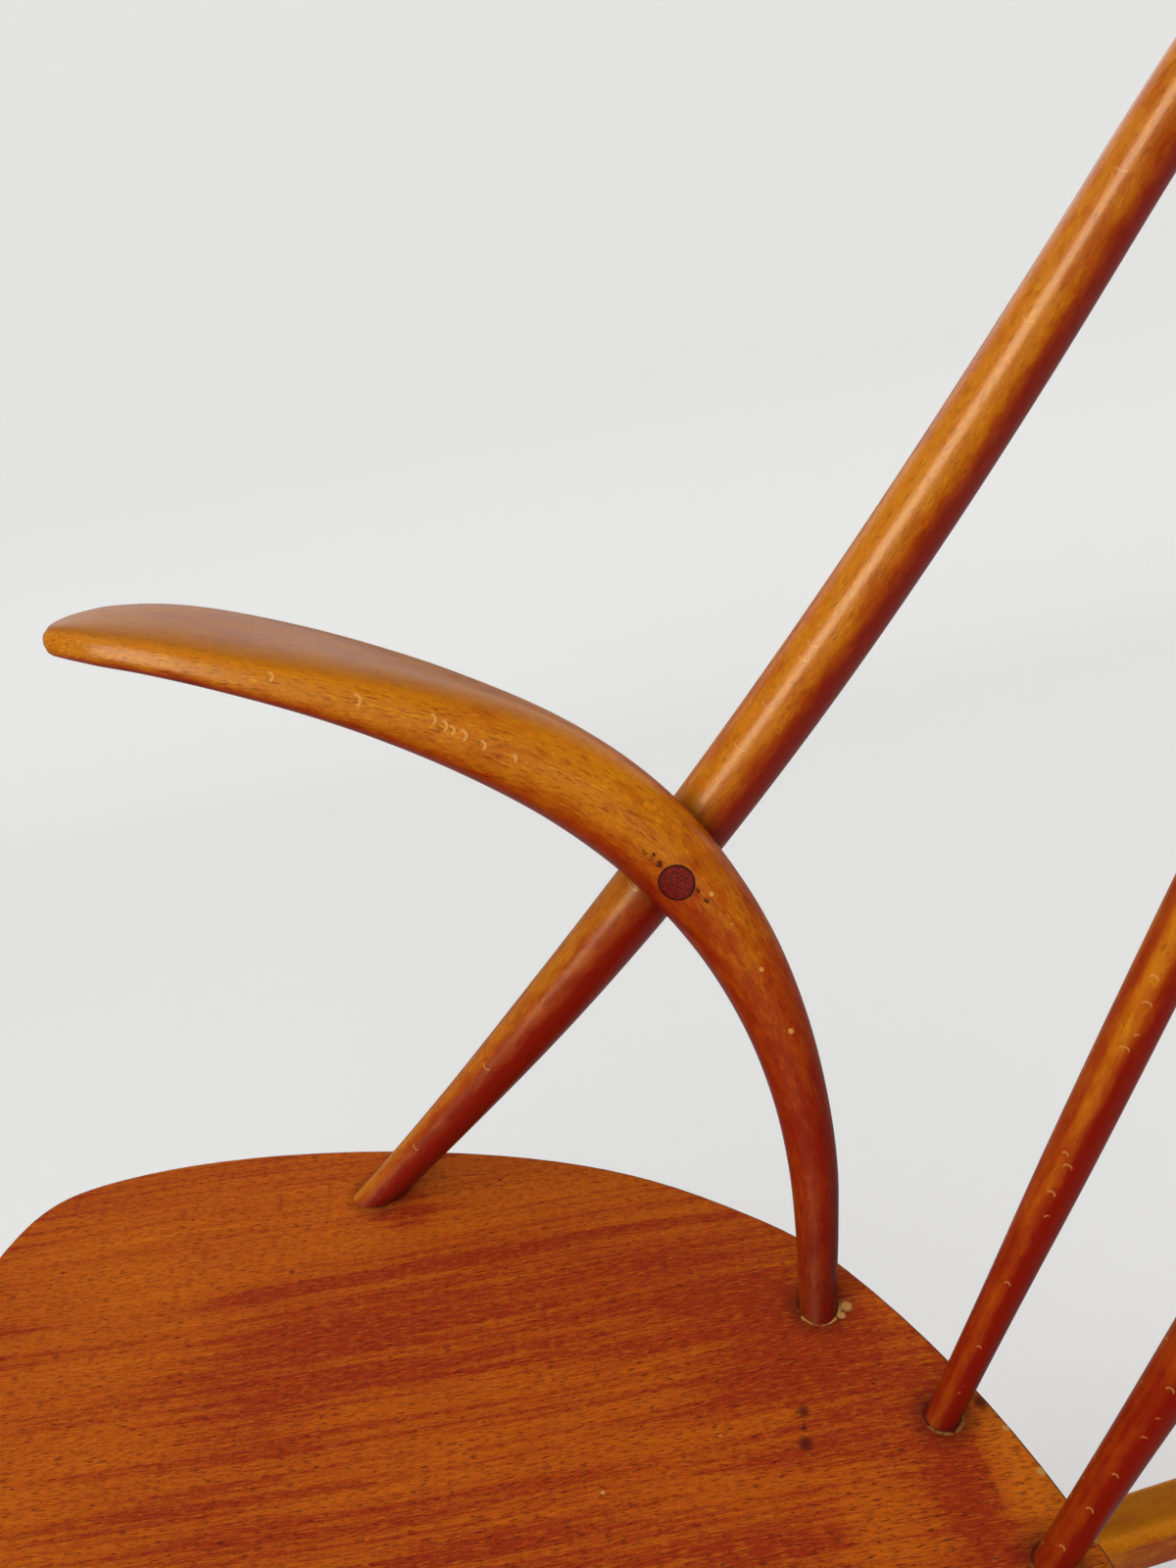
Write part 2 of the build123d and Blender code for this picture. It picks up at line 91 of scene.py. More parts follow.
class Shading:
    # short ways to add the nodes of one material or of the world
    def __init__(self, owner):
        owner.use_nodes = True
        self.owner = owner
        self.nodes = owner.node_tree.nodes
        self.links = owner.node_tree.links

    def put(self, socket, value):
        if isinstance(value, bpy.types.NodeSocket):
            self.links.new(value, socket)
            return
        sizes = hasattr(socket.default_value, "__len__") and (len(value), len(socket.default_value))
        socket.default_value = (*value, 1.0) if sizes == (3, 4) else value

    def add(self, kind, inputs, **settings):
        # a node with its settings made, then its inputs linked or filled
        node = self.nodes.new("ShaderNode" + kind)
        for name, value in settings.items():
            setattr(node, name, value)
        for name, value in inputs.items():
            self.put(node.inputs[name], value)
        return node.outputs

    def vector(self, source, scale=(1, 1, 1), place=(0, 0, 0), turn=(0, 0, 0)):
        inputs = {"Vector": source, "Scale": scale, "Location": place, "Rotation": turn}
        return self.add("Mapping", inputs)["Vector"]

    def objectPlace(self):
        return self.add("TexCoord", {})["Object"]

    def grainPlace(self):
        return self.add("Attribute", {}, attribute_name="grain")["Vector"]

    def pattern(self, place, scale, shift, detail, roughness, turn=(0, 0, 0)):
        inputs = {"Vector": self.vector(place, scale, shift, turn), "Scale": 1.0,
                  "Detail": detail, "Roughness": roughness}
        return self.add("TexNoise", inputs)["Fac"]

    def parts(self, vector):
        outputs = self.add("SeparateXYZ", {0: vector})
        return outputs["X"], outputs["Y"], outputs["Z"]

    def join(self, x, y, z):
        return self.add("CombineXYZ", {"X": x, "Y": y, "Z": z})["Vector"]

    def ramp(self, value, low, high, bottom=0.0, top=1.0):
        inputs = {"Value": value, "From Min": low, "From Max": high, "To Min": bottom,
                  "To Max": top}
        return self.add("MapRange", inputs, interpolation_type="SMOOTHSTEP")["Result"]

    def maths(self, operation, a, b=0.0, c=0.0):
        return self.add("Math", {0: a, 1: b, 2: c}, operation=operation)["Value"]

    def chain(self, operation, values):
        # one operation over a few values in turn
        result = values[0]
        for value in values[1:]:
            result = self.maths(operation, result, value)
        return result

    def total(self, *values):
        return self.chain("ADD", values)

    def product(self, *values):
        return self.chain("MULTIPLY", values)

    def most(self, *values):
        return self.chain("MAXIMUM", values)

    def size(self, value):
        return self.maths("ABSOLUTE", value)

    def blend(self, factor, a, b, mode="MIX"):
        settings = {"data_type": "RGBA", "blend_type": mode}
        return self.add("Mix", {0: factor, 6: a, 7: b}, **settings)[2]

    def dot(self, vector, direction):
        return self.add("VectorMath", {0: vector, 1: direction}, operation="DOT_PRODUCT")["Value"]

    def distance(self, place, point):
        return self.add("VectorMath", {0: place, 1: point}, operation="DISTANCE")["Value"]

    def facing(self, direction):
        # how far the surface faces a direction, from -1 to 1
        return self.dot(self.add("TexCoord", {})["Normal"], Vector(direction).normalized())

    def closeness(self, reach, samples):
        # 1 in the open, less where other surfaces come near
        return self.add("AmbientOcclusion", {"Distance": reach}, samples=samples)["AO"]

    def spot(self, place, seatPlace, radius, edge=(0.6, 1.3)):
        # a soft spot round a place on the seat, fading between two shares of its radius
        away = self.distance(place, onSeat(*seatPlace))
        full, none = [radius * share * millimetre for share in edge]
        return self.ramp(away, full, none, 1.0, 0.0)

    def arc(self, place, seatPlace, radius, edge=(0.25, 0.75), rearPart=0.6):
        # the rear half of a ring, whose line fades between two distances from its middle
        centre = onSeat(*seatPlace)
        away = self.maths("SUBTRACT", self.distance(place, centre), radius * millimetre)
        full, none = [distance * millimetre for distance in edge]
        line = self.ramp(self.size(away), full, none, 1.0, 0.0)
        rear = self.maths("SUBTRACT", self.parts(place)[1], centre.y)
        return self.product(line, self.ramp(rear, 0.0, radius * rearPart * millimetre))

    def crescents(self, across, along, share, spacing, radius, width):
        # thin arcs at random places of a surface laid flat, pale dents of a turning tool
        place = self.join(self.maths("DIVIDE", across, spacing),
                          self.maths("DIVIDE", along, spacing), 0.0)
        cell = self.add("TexVoronoi", {"Vector": place, "Scale": 1.0}, voronoi_dimensions="2D")
        off = self.add("VectorMath", {0: place, 1: cell["Position"]}, operation="SUBTRACT")[0]
        offAcross, offAlong, _ = self.parts(off)
        chance, size, _ = self.parts(cell["Color"])
        ring = self.maths("MULTIPLY_ADD", size, radius, radius * 0.6)
        offRing = self.size(self.maths("SUBTRACT", cell["Distance"], ring))
        line = self.ramp(offRing, width * 0.4, width, 1.0, 0.0)
        half = self.ramp(offAlong, -0.02, 0.05)
        near = self.ramp(self.size(offAcross), radius * 0.9, radius * 1.2, 1.0, 0.0)
        return self.product(line, half, self.product(near, self.maths("LESS_THAN", chance, share)))

    def bump(self, height, distance, strength):
        inputs = {"Strength": strength, "Distance": distance, "Height": height}
        return self.add("Bump", inputs)["Normal"]

    def finish(self, colour, roughness, normal=None, **others):
        surface = self.nodes["Principled BSDF"]
        self.put(surface.inputs["Base Color"], colour)
        self.put(surface.inputs["Roughness"], roughness)
        if normal is not None:
            self.put(surface.inputs["Normal"], normal)
        for socket, value in others.items():
            self.put(surface.inputs[socket.replace("_", " ")], value)
        return self.owner


def newShading(name):
    return Shading(bpy.data.materials.new(name))


beechValues = {
    # painted light and shade: lit, side and shade are lit and shaded copies of the stain's colour
    "lit": (0.70, 0.215, 0.004),
    "side": (0.46, 0.062, 0.003),
    "shade": (0.29, 0.010, 0.003),
    "dash": (0.20, 0.018, 0.003),
    "paleDash": (1.35, 1.9, 2.0),            # times the colour round it
    "pore": (0.09, 0.012, 0.005),
    # the colour of the painted shade
    "paintedShade": (0.07, 0.008, 0.004),
    "mark": (0.90, 0.45, 0.11),
    "gleam": (1.0, 0.80, 0.50),
    "litTone": (0.15, 0.95),
    "shadeTone": (-0.40, 0.40, 1.0, 0.0),
    "driftTone": (0.3, 0.7, -0.15, 0.15),
    "mottleTone": (0.3, 0.7, -0.18, 0.18),
    "light": (0.0, -0.15, 0.99),             # painted light: faces that look this way are painted lighter
    "lightShare": 0.85,
    "overSeat": (-0.75, 0.48),               # painted light on faces to the sides away from the seat, painted shade on them near it
    "underSeat": (0.35, 0.25, -0.75, 0.45),
    "rearward": (0.45, 0.87, -0.20),         # the rear side of a bar looks this way
    "rearTone": (0.15, 0.75),
    "rearShadeFrom": (0.3, 0.95),
    "nearSeat": (0.40, 0.50, 0.65, 0.0),     # heights, and how strong the painted shade on the rear side is at them
    "foot": (0.385, 0.455),                  # heights over which painted shade darkens the feet of the arms and spindles
    "creaseShade": (0.25, 0.85, 0.85, 0.0),
    "closeBy": 0.022,                        # painted shade where pieces meet, within this distance
    "closeSamples": 8,
    "dashEdge": (0.53, 0.68),
    "paleDashEdge": (0.54, 0.68),
    "poreEdge": (0.66, 0.74, 0.0, 0.5),
    "calmTop": (0.55, 0.90, 1.0, 0.35),      # faces that look up have weaker dashes
    "levelFaceShade": (0.72, 0.97, 1.0, 0.62),     # and level ones get painted shade
    "markRow": (0.60, -0.56, 0.57),          # the rows of dents and the painted highlight stripe face this way
    "markRowEdge": (0.84, 0.93),
    "highlightStripe": (0.84, 1.0, -0.35),
    "dents": (0.0085, 0.16, 0.05),           # spacing, and radius and line width as shares of it
    "dentShare": 0.45,
    "wearShare": 0.75,
    "barRadius": 0.0075,
    "dashRelief": 0.5,
    "relief": (0.00005, 0.25),
    "unevenFrom": (0.3, 0.7),
    "uneven": 0.06,                          # how much rougher the roughest places are
}

# scale across and along the grain in turns per metre, shift, detail, roughness
beechPatterns = {
    "drift": ((45, 45, 12), (0, 0, 0), 3.0, 0.5),
    "mottle": ((190, 190, 75), (0, 0, 0), 3.0, 0.55),
    "dash": ((1300, 1300, 210), (0, 0, 0), 2.5, 0.55),
    "paleDash": ((1100, 1100, 230), (3, 5, 7), 2.5, 0.55),
    "pores": ((1900, 1900, 420), (0, 0, 0), 1.0, 0.5),
}

# knocks on the right arm, places in millimetres on the seat with their radius
armWear = {
    "dark": [
        ((-232.9, 53.0, 161.3), 0.9), ((-231.7, 55.2, 159.0), 0.7), ((-230.4, 57.6, 156.8), 1.0),
        ((-231.9, 56.4, 160.4), 0.6), ((-224.2, 70.8, 146.6), 0.7), ((-222.4, 73.6, 143.0), 0.8),
        ((-256.0, -3.0, 205.0), 0.8),
    ],
    "darkSpread": 1.5,
    "darkBroken": (0.40, 0.52),
    "pale": [
        ((-223.3, 75.7, 145.0), 0.9), ((-209.6, 90.9, 117.7), 0.9), ((-198.6, 99.0, 95.8), 1.1),
        ((-218.2, 82.0, 134.0), 0.6),
    ],
    "dents": [
        ((-257.0, -16.4, 211.9), 2.0), ((-256.3, -13.6, 210.0), 1.7), ((-255.0, -9.8, 208.0), 2.1),
        ((-252.9, -2.9, 203.9), 1.6), ((-270.7, -77.4, 233.9), 1.9), ((-263.6, -47.2, 223.4), 2.4),
        ((-258.5, -20.0, 214.5), 1.8), ((-249.0, 8.0, 199.0), 1.9), ((-242.0, 28.0, 187.0), 1.8),
    ],
}

# how many dents, how strong the dashes, roughness, shine, how strong the painted highlight stripe
# is, how much painted shade darkens the rear side and the foot, and the heights over which painted
# shade on the sides gives way to painted light
beechKinds = {
    "bentBeech": (0.06, 0.40, 0.24, 0.30, 0.0, 0.60, 0.0, (0.43, 0.58)),
    "turnedBeech": (0.60, 0.25, 0.28, 0.15, 0.24, 0.0, 0.15, (0.43, 0.62)),
    "armBeech": (0.0, 0.60, 0.27, 0.20, 0.0, 0.0, 0.50, (0.43, 0.60)),
    "rockerBeech": (0.0, 0.35, 0.30, 0.12, 0.0, 0.0, 0.0, (0.43, 0.62)),
}


def beechToneAndLight(shading, height, row, rear, patterns, highlightStripe, rearShade, sideLightHeights):
    # how light the wood looks: painted light and shade, lighter upwards and to the sides away from
    # the seat, darker near the seat and to the rear, with a painted highlight stripe, over the
    # stain's own drift and mottle
    away = shading.most(shading.ramp(height, *sideLightHeights, *beechValues["overSeat"]),
                        shading.ramp(height, *beechValues["underSeat"]))
    toneAndPaintedLight = [
        shading.product(shading.size(shading.facing(seatAcross)), away),
        shading.product(shading.facing(beechValues["light"]), beechValues["lightShare"]),
        shading.ramp(patterns["drift"], *beechValues["driftTone"]),
        shading.ramp(patterns["mottle"], *beechValues["mottleTone"]),
        shading.ramp(rear, *beechValues["rearTone"], 0.0, -rearShade),
    ]
    # painted highlight: a paler stripe along the bars where they face the light
    if highlightStripe:
        toneAndPaintedLight.append(shading.ramp(row, *beechValues["highlightStripe"], highlightStripe))
    return shading.total(*toneAndPaintedLight)


def beechWear(shading, colour, wear, dash):
    # knocks at given places: dark ones broken up along the grain, pale ones and thin arcs
    place = shading.objectPlace()
    dark = [shading.spot(place, spot, radius * wear["darkSpread"]) for spot, radius in wear["dark"]]
    broken = shading.ramp(dash, *wear["darkBroken"])
    colour = shading.blend(shading.product(shading.most(*dark), broken), colour,
                           beechValues["pore"])
    pale = [shading.spot(place, spot, radius) for spot, radius in wear["pale"]]
    pale += [shading.arc(place, spot, radius) for spot, radius in wear["dents"]]
    share = shading.product(shading.most(*pale), beechValues["wearShare"])
    return shading.blend(share, colour, beechValues["mark"])


def beechMaterial(name, wear=None):
    # bent and turned beech under a red brown stain: the grain runs along each bar
    dents, dashes, roughness, shine, highlightStripe, rearShade, footShade, sideLightHeights = beechKinds[name]
    shading = newShading(name)
    grain = shading.grainPlace()
    patterns = {kind: shading.pattern(grain, *values) for kind, values in beechPatterns.items()}
    height = shading.parts(shading.objectPlace())[2]
    x, y, z = beechValues["markRow"]
    row = shading.most(shading.facing((x, y, z)), shading.facing((-x, y, z)))
    rear = shading.facing(beechValues["rearward"])
    toneAndLight = beechToneAndLight(shading, height, row, rear, patterns, highlightStripe, rearShade, sideLightHeights)
    # painted light and shade: the colour goes from the shaded to the lit copy by the tone
    lit = shading.ramp(toneAndLight, *beechValues["litTone"])
    colour = shading.blend(lit, beechValues["side"], beechValues["lit"])
    shade = shading.ramp(toneAndLight, *beechValues["shadeTone"])
    colour = shading.blend(shade, colour, beechValues["shade"])

    onTop = shading.facing((0, 0, 1))
    calm = shading.product(shading.ramp(onTop, *beechValues["calmTop"]), dashes)
    darkShare = shading.product(shading.ramp(patterns["dash"], *beechValues["dashEdge"]), calm)
    paleDash = shading.ramp(patterns["paleDash"], *beechValues["paleDashEdge"])
    paleShare = shading.product(paleDash, calm)
    colour = shading.blend(darkShare, colour, beechValues["dash"])
    pale = shading.blend(1.0, colour, beechValues["paleDash"], "MULTIPLY")
    colour = shading.blend(paleShare, colour, pale)
    poreShare = shading.ramp(patterns["pores"], *beechValues["poreEdge"])
    colour = shading.blend(poreShare, colour, beechValues["pore"])
    # painted shade: level faces darker
    levelShade = shading.ramp(onTop, *beechValues["levelFaceShade"])
    colour = shading.blend(1.0, colour, shading.join(levelShade, levelShade, levelShade), "MULTIPLY")

    # painted shade: on the rear sides near the seat, where pieces meet, and at the feet of the bars
    rearward = shading.product(shading.ramp(rear, *beechValues["rearShadeFrom"]),
                               shading.ramp(height, *beechValues["nearSeat"]))
    closeness = shading.closeness(beechValues["closeBy"], beechValues["closeSamples"])
    creaseShade = shading.ramp(closeness, *beechValues["creaseShade"])
    foot = shading.product(shading.ramp(height, *beechValues["foot"], footShade, 0.0),
                           shading.maths("GREATER_THAN", height, beechValues["foot"][0]))
    colour = shading.blend(shading.most(rearward, creaseShade, foot), colour, beechValues["paintedShade"])

    acrossX, acrossY, along = shading.parts(grain)
    around = shading.product(shading.maths("ARCTAN2", acrossY, acrossX), beechValues["barRadius"])
    marks = shading.product(shading.crescents(around, along, dents, *beechValues["dents"]),
                            shading.ramp(row, *beechValues["markRowEdge"]))
    markShare = shading.product(marks, beechValues["dentShare"])
    colour = shading.blend(markShare, colour, beechValues["mark"])
    if wear:
        colour = beechWear(shading, colour, wear, patterns["dash"])
    dashRelief = shading.product(patterns["dash"], beechValues["dashRelief"])
    relief = shading.maths("SUBTRACT", dashRelief, marks)
    uneven = shading.ramp(patterns["mottle"], *beechValues["unevenFrom"], roughness,
                          roughness + beechValues["uneven"])
    return shading.finish(colour, uneven, shading.bump(relief, *beechValues["relief"]),
                          Specular_IOR_Level=shine, Specular_Tint=beechValues["gleam"])


veneerValues = {
    "gold": (0.74, 0.185, 0.008),
    "light": (0.57, 0.110, 0.005),
    "deep": (0.37, 0.034, 0.005),
    "dark": (0.19, 0.013, 0.005),
    "pore": (0.070, 0.008, 0.004),
    "glue": (0.66, 0.36, 0.09),
    "lightTone": (-0.45, 0.45),
    "goldTone": (0.45, 1.30, 0.0, 0.65),
    # place on the seat, half sizes, how much lighter than the rest or, below zero, darker; the dark
    # ones by the hoop's foot, the arm's foot and between the spindles are painted shadows, the
    # light ones along the rear rim and near the feet are painted light, the rest is the veneer's
    # own tone
    "toneAndPaintedLight": [
        ((-250, -60), (42, 170), 0.42), ((-150, -185), (110, 50), 0.50),
        ((-184, 0), (20, 120), -0.25), ((-125, 85), (50, 45), -0.30), ((-88, 144), (30, 10), 1.3),
        ((-50, 156), (40, 12), 1.2), ((-140, 124), (16, 9), 0.5), ((-75, 122), (34, 9), -0.75),
        ((-159, 80), (14, 10), -0.55), ((-204.5, -60), (2.6, 240), -0.50),
        ((-236, -59), (11, 11), -1.0), ((-165, -100), (40, 80), -0.22),
        ((-74, 92), (16, 14), 0.5), ((-190, -200), (4, 60), -0.35), ((-130, -60), (16, 130), 0.10),
    ],
    "toneEdge": (0.1, 1.6),            # each fades between these shares of its half sizes
    # place and radius of each dark stain and each pale chip
    "stains": [((-114.3, 79.0), 2.3), ((-102.8, 76.2), 2.6), ((-108.5, 77.3), 1.0),
               ((-106.9, 139.2), 3.0)],
    "chips": [((-98.2, 6.3), 0.8), ((-110.7, 48.7), 0.5), ((-96.2, 143.6), 1.3),
              ((-80.0, 148.0), 1.6), ((-56.9, 154.4), 1.2), ((-153.0, 107.0), 2.3),
              ((-149.5, 104.0), 1.6)],
    "stainEdge": (0.3, 1.5, 0.85),     # from, to as shares of the radius, strength
    "chipEdge": (0.6, 1.2, 0.8),
    # place and radius of each bar that stands in the seat, and how much glue shows round it
    "feet": [((x * side, y), radius, glue) for x, y, radius, glue in
             ((248.0, -71.5, 7.9, 0.0), (155.0, 96.6, 7.3, 0.8), (104.2, 124.7, 5.9, 0.35),
              (52.7, 138.4, 5.8, 0.35)) for side in (1, -1)] + [((0.0, 143.2), 5.7, 0.35)],
    "footShadeRings": [(-0.5, 9.0, 0.6), (0.6, 1.3, 0.9)],      # painted shade: from, to beyond the bar, strength
    "glueFrom": (0.0, 0.5),
    "glueTo": (0.9, 1.7),
    "glueHalf": (-2.0, 2.5),           # only the inner half of a ring has glue
    "glueBroken": (0.38, 0.52),
    "rim": (0.75, 0.97, 0.85, 0.0),    # the rounded edge is darker
    "flow": (0.2, 0.8, -4.0, 4.0),     # how far the grain sways from straight
    "relief": (0.0001, 0.4),
    "roughness": (0.2, 0.8, 0.5, 0.6),
    "shine": 0.06,
}

# scale across and along the grain in turns per millimetre, shift, detail, roughness
veneerPatterns = {
    "cloud": ((0.020, 0.008, 1), (0, 0, 0), 3.0, 0.55),
    "patch": ((0.20, 0.010, 1), (4, 2, 0), 3.0, 0.6),
    "band": ((0.11, 0.004, 1), (0, 0, 0), 3.0, 0.6),
    "streak": ((0.50, 0.010, 1), (0, 0, 0), 3.0, 0.6),
    "grit": ((1.3, 0.8, 1), (1, 7, 3), 2.0, 0.7),
    "glint": ((1.6, 0.16, 1), (5, 9, 2), 3.0, 0.65),
    "fibre": ((1.9, 0.22, 1), (0, 0, 0), 3.0, 0.65),
    "pores": ((1.8, 0.24, 1), (9, 4, 2), 1.5, 0.5),
}
swayPattern = ((0.006, 0.004, 1), (0, 0, 0), 2.0, 0.5)
gluePattern = ((0.30, 0.30, 1), (0, 0, 0), 2.0, 0.5)

# how much lighter or darker each pattern makes the wood
veneerTones = {
    "cloud": (0.25, 0.75, -0.25, 0.25),
    "patch": (0.3, 0.7, -0.22, 0.22),
    "band": (0.33, 0.70, 0.22, -0.26),
    "streak": (0.35, 0.68, 0.28, -0.36),
    "grit": (0.3, 0.7, -0.16, 0.16),
}

# pattern, its share and its colour, from the lowest layer up
veneerLayers = [
    ("glint", (0.50, 0.66, 0.0, 0.50), "gold"),
    ("fibre", (0.50, 0.64, 0.0, 0.62), "dark"),
    ("pores", (0.61, 0.68, 0.0, 0.75), "pore"),
]


def footMarks(shading, flat, x):
    # painted shade round each bar that stands in the seat, in the gap beside it and on the seat
    # near it, and broken rings of old glue
    paintedShade = []
    glue = []
    broken = shading.ramp(shading.pattern(flat, *gluePattern), *veneerValues["glueBroken"])
    for spot, radius, share in veneerValues["feet"]:
        away = shading.distance(flat, (*spot, 0))
        for start, end, strength in veneerValues["footShadeRings"]:
            paintedShade.append(shading.ramp(away, radius + start, radius + end, strength, 0.0))
        if share > 0:
            inner, outer = [[radius + reach for reach in veneerValues[name]]
                            for name in ("glueFrom", "glueTo")]
            inwards = -math.copysign(1.0, spot[0]) if spot[0] else 1.0
            side = shading.product(shading.maths("SUBTRACT", x, spot[0]), inwards)
            glue.append(shading.product(shading.ramp(away, *inner),
                                        shading.ramp(away, *outer, share, 0.0),
                                        shading.ramp(side, *veneerValues["glueHalf"]), broken))
    return paintedShade, glue


def veneerMaterial():
    # open grained veneer, grain from the front of the seat to its rear, measured in millimetres
    shading = newShading("seatVeneer")
    place = shading.vector(shading.objectPlace(), [1 / millimetre] * 3)
    x = shading.parts(place)[0]
    datum = seatDatum.dot(seatBack) / millimetre
    y = shading.maths("SUBTRACT", shading.dot(place, seatBack), datum)
    flat = shading.join(x, y, 0.0)
    sway = shading.ramp(shading.pattern(flat, *swayPattern), *veneerValues["flow"])
    flow = shading.join(shading.total(x, sway), y, 0.0)
    patterns = {name: shading.pattern(flow, *values) for name, values in veneerPatterns.items()}

    toneAndPaintedLight = [shading.ramp(patterns[name], *share) for name, share in veneerTones.items()]
    for (toneX, toneY), (sizeX, sizeY), strength in veneerValues["toneAndPaintedLight"]:
        offset = shading.vector(flow, (1 / sizeX, 1 / sizeY, 0),
                                (-toneX / sizeX, -toneY / sizeY, 0))
        toneAndPaintedLight.append(shading.ramp(shading.distance(offset, (0, 0, 0)), *veneerValues["toneEdge"],
                                  strength, 0.0))
    toneAndLight = shading.total(*toneAndPaintedLight)
    colour = shading.blend(shading.ramp(toneAndLight, *veneerValues["lightTone"]), veneerValues["deep"],
                           veneerValues["light"])
    colour = shading.blend(shading.ramp(toneAndLight, *veneerValues["goldTone"]), colour,
                           veneerValues["gold"])
    for name, share, colourName in veneerLayers:
        colour = shading.blend(shading.ramp(patterns[name], *share), colour,
                               veneerValues[colourName])

    rim = shading.ramp(shading.facing(seatUp), *veneerValues["rim"])
    colour = shading.blend(rim, colour, veneerValues["pore"])
    # painted shade round the feet, and the real stains, are laid in the colour of the pores
    dark, pale = footMarks(shading, flat, x)
    for marks, kind, edge in ((dark, "stains", "stainEdge"), (pale, "chips", "chipEdge")):
        full, none, strength = veneerValues[edge]
        for spot, radius in veneerValues[kind]:
            away = shading.distance(flat, (*spot, 0))
            marks.append(shading.ramp(away, radius * full, radius * none, strength, 0.0))
    colour = shading.blend(shading.most(*dark), colour, veneerValues["pore"])
    colour = shading.blend(shading.most(*pale), colour, veneerValues["glue"])
    normal = shading.bump(shading.product(patterns["pores"], -1.0), *veneerValues["relief"])
    roughness = shading.ramp(patterns["fibre"], *veneerValues["roughness"])
    return shading.finish(colour, roughness, normal, Specular_IOR_Level=veneerValues["shine"])


coreValues = {
    "ply": (0.34, 0.10, 0.025),
    "crossPly": (0.16, 0.035, 0.010),
    "plyThickness": 1.5,
    "plyEdge": (-0.3, 0.3),
    "rough": ((400, 400, 900), (0, 0, 0), 3.0, 0.5),
    "roughEdge": (0.4, 0.8, 0.0, 0.5),
    "relief": (0.0001, 0.5),
    "roughness": 0.55,
}


def coreMaterial():
    # the edges of the plies, light and dark by turns
    shading = newShading("plywoodEdge")
    place = shading.objectPlace()
    height = shading.dot(place, seatUp)
    turns = shading.product(height, math.pi / (coreValues["plyThickness"] * millimetre))
    wave = shading.ramp(shading.maths("SINE", turns), *coreValues["plyEdge"])
    rough = shading.pattern(place, *coreValues["rough"])
    colour = shading.blend(wave, coreValues["crossPly"], coreValues["ply"])
    colour = shading.blend(shading.ramp(rough, *coreValues["roughEdge"]), colour,
                           coreValues["crossPly"])
    return shading.finish(colour, coreValues["roughness"],
                          shading.bump(rough, *coreValues["relief"]))


plainWoodValues = {
    # light and dark colour, and the scale of the fibres in turns per metre
    "railWood": ((0.40, 0.15, 0.04), (0.22, 0.07, 0.02), (7, 260, 260)),
    "wedgeWood": ((0.52, 0.27, 0.11), (0.33, 0.15, 0.06), (260, 260, 12)),
    "fibre": ((0, 0, 0), 4.0, 0.6),
    "fibreEdge": (0.35, 0.7),
    "relief": (0.0001, 0.4),
    "roughness": 0.45,
}


def plainWoodMaterial(name):
    light, dark, scale = plainWoodValues[name]
    shading = newShading(name)
    fibre = shading.pattern(shading.objectPlace(), scale, *plainWoodValues["fibre"])
    colour = shading.blend(shading.ramp(fibre, *plainWoodValues["fibreEdge"]), light, dark)
    return shading.finish(colour, plainWoodValues["roughness"],
                          shading.bump(fibre, *plainWoodValues["relief"]))


plugWoodValues = {
    "light": (0.34, 0.022, 0.006),
    "dark": (0.11, 0.006, 0.004),
    "rim": (0.035, 0.004, 0.003),
    "rimFrom": (0.0058, 0.0068),
    "sawn": ((500, 2600, 1), (0, 0, 0), 2.0, 0.5, (0, 0, 0.35)),
    "crossed": ((2600, 600, 1), (3, 1, 0), 2.0, 0.5, (0, 0, 0.2)),
    "sawnEdge": (0.42, 0.62),
    "crossedEdge": (0.55, 0.70, 0.0, 0.6),
    "relief": (0.00005, 0.3),
    "roughness": 0.6,
    "shine": 0.1,
}


def plugWoodMaterial():
    # end grain, crossed by fine saw lines, with a dark joint round it
    shading = newShading("plugWood")
    grain = shading.grainPlace()
    x, y, _ = shading.parts(grain)
    sawn = shading.pattern(grain, *plugWoodValues["sawn"])
    crossed = shading.pattern(grain, *plugWoodValues["crossed"])
    dark = plugWoodValues["dark"]
    colour = shading.blend(shading.ramp(sawn, *plugWoodValues["sawnEdge"]), dark,
                           plugWoodValues["light"])
    colour = shading.blend(shading.ramp(crossed, *plugWoodValues["crossedEdge"]), colour, dark)
    away = shading.distance(shading.join(x, y, 0.0), (0, 0, 0))
    rim = shading.ramp(away, *plugWoodValues["rimFrom"])
    colour = shading.blend(rim, colour, plugWoodValues["rim"])
    return shading.finish(colour, plugWoodValues["roughness"],
                          shading.bump(sawn, *plugWoodValues["relief"]),
                          Specular_IOR_Level=plugWoodValues["shine"])


screwValues = {
    "colours": ((0.50, 0.48, 0.45), (0.62, 0.60, 0.57)),
    "wear": ((900, 900, 900), (0, 0, 0), 3.0, 0.5),
    "roughness": (0.3, 0.7, 0.3, 0.45),
}


def screwMaterial():
    shading = newShading("screwSteel")
    wear = shading.pattern(shading.objectPlace(), *screwValues["wear"])
    return shading.finish(shading.blend(wear, *screwValues["colours"]),
                          shading.ramp(wear, *screwValues["roughness"]), Metallic=1.0)


bentBeech = beechMaterial("bentBeech")
turnedBeech = beechMaterial("turnedBeech")
armBeech = beechMaterial("armBeech", armWear)
rockerBeech = beechMaterial("rockerBeech")
veneer = veneerMaterial()
plywood = coreMaterial()
railWood = plainWoodMaterial("railWood")
wedgeWood = plainWoodMaterial("wedgeWood")
plugWood = plugWoodMaterial()
screwSteel = screwMaterial()
print("materials made")


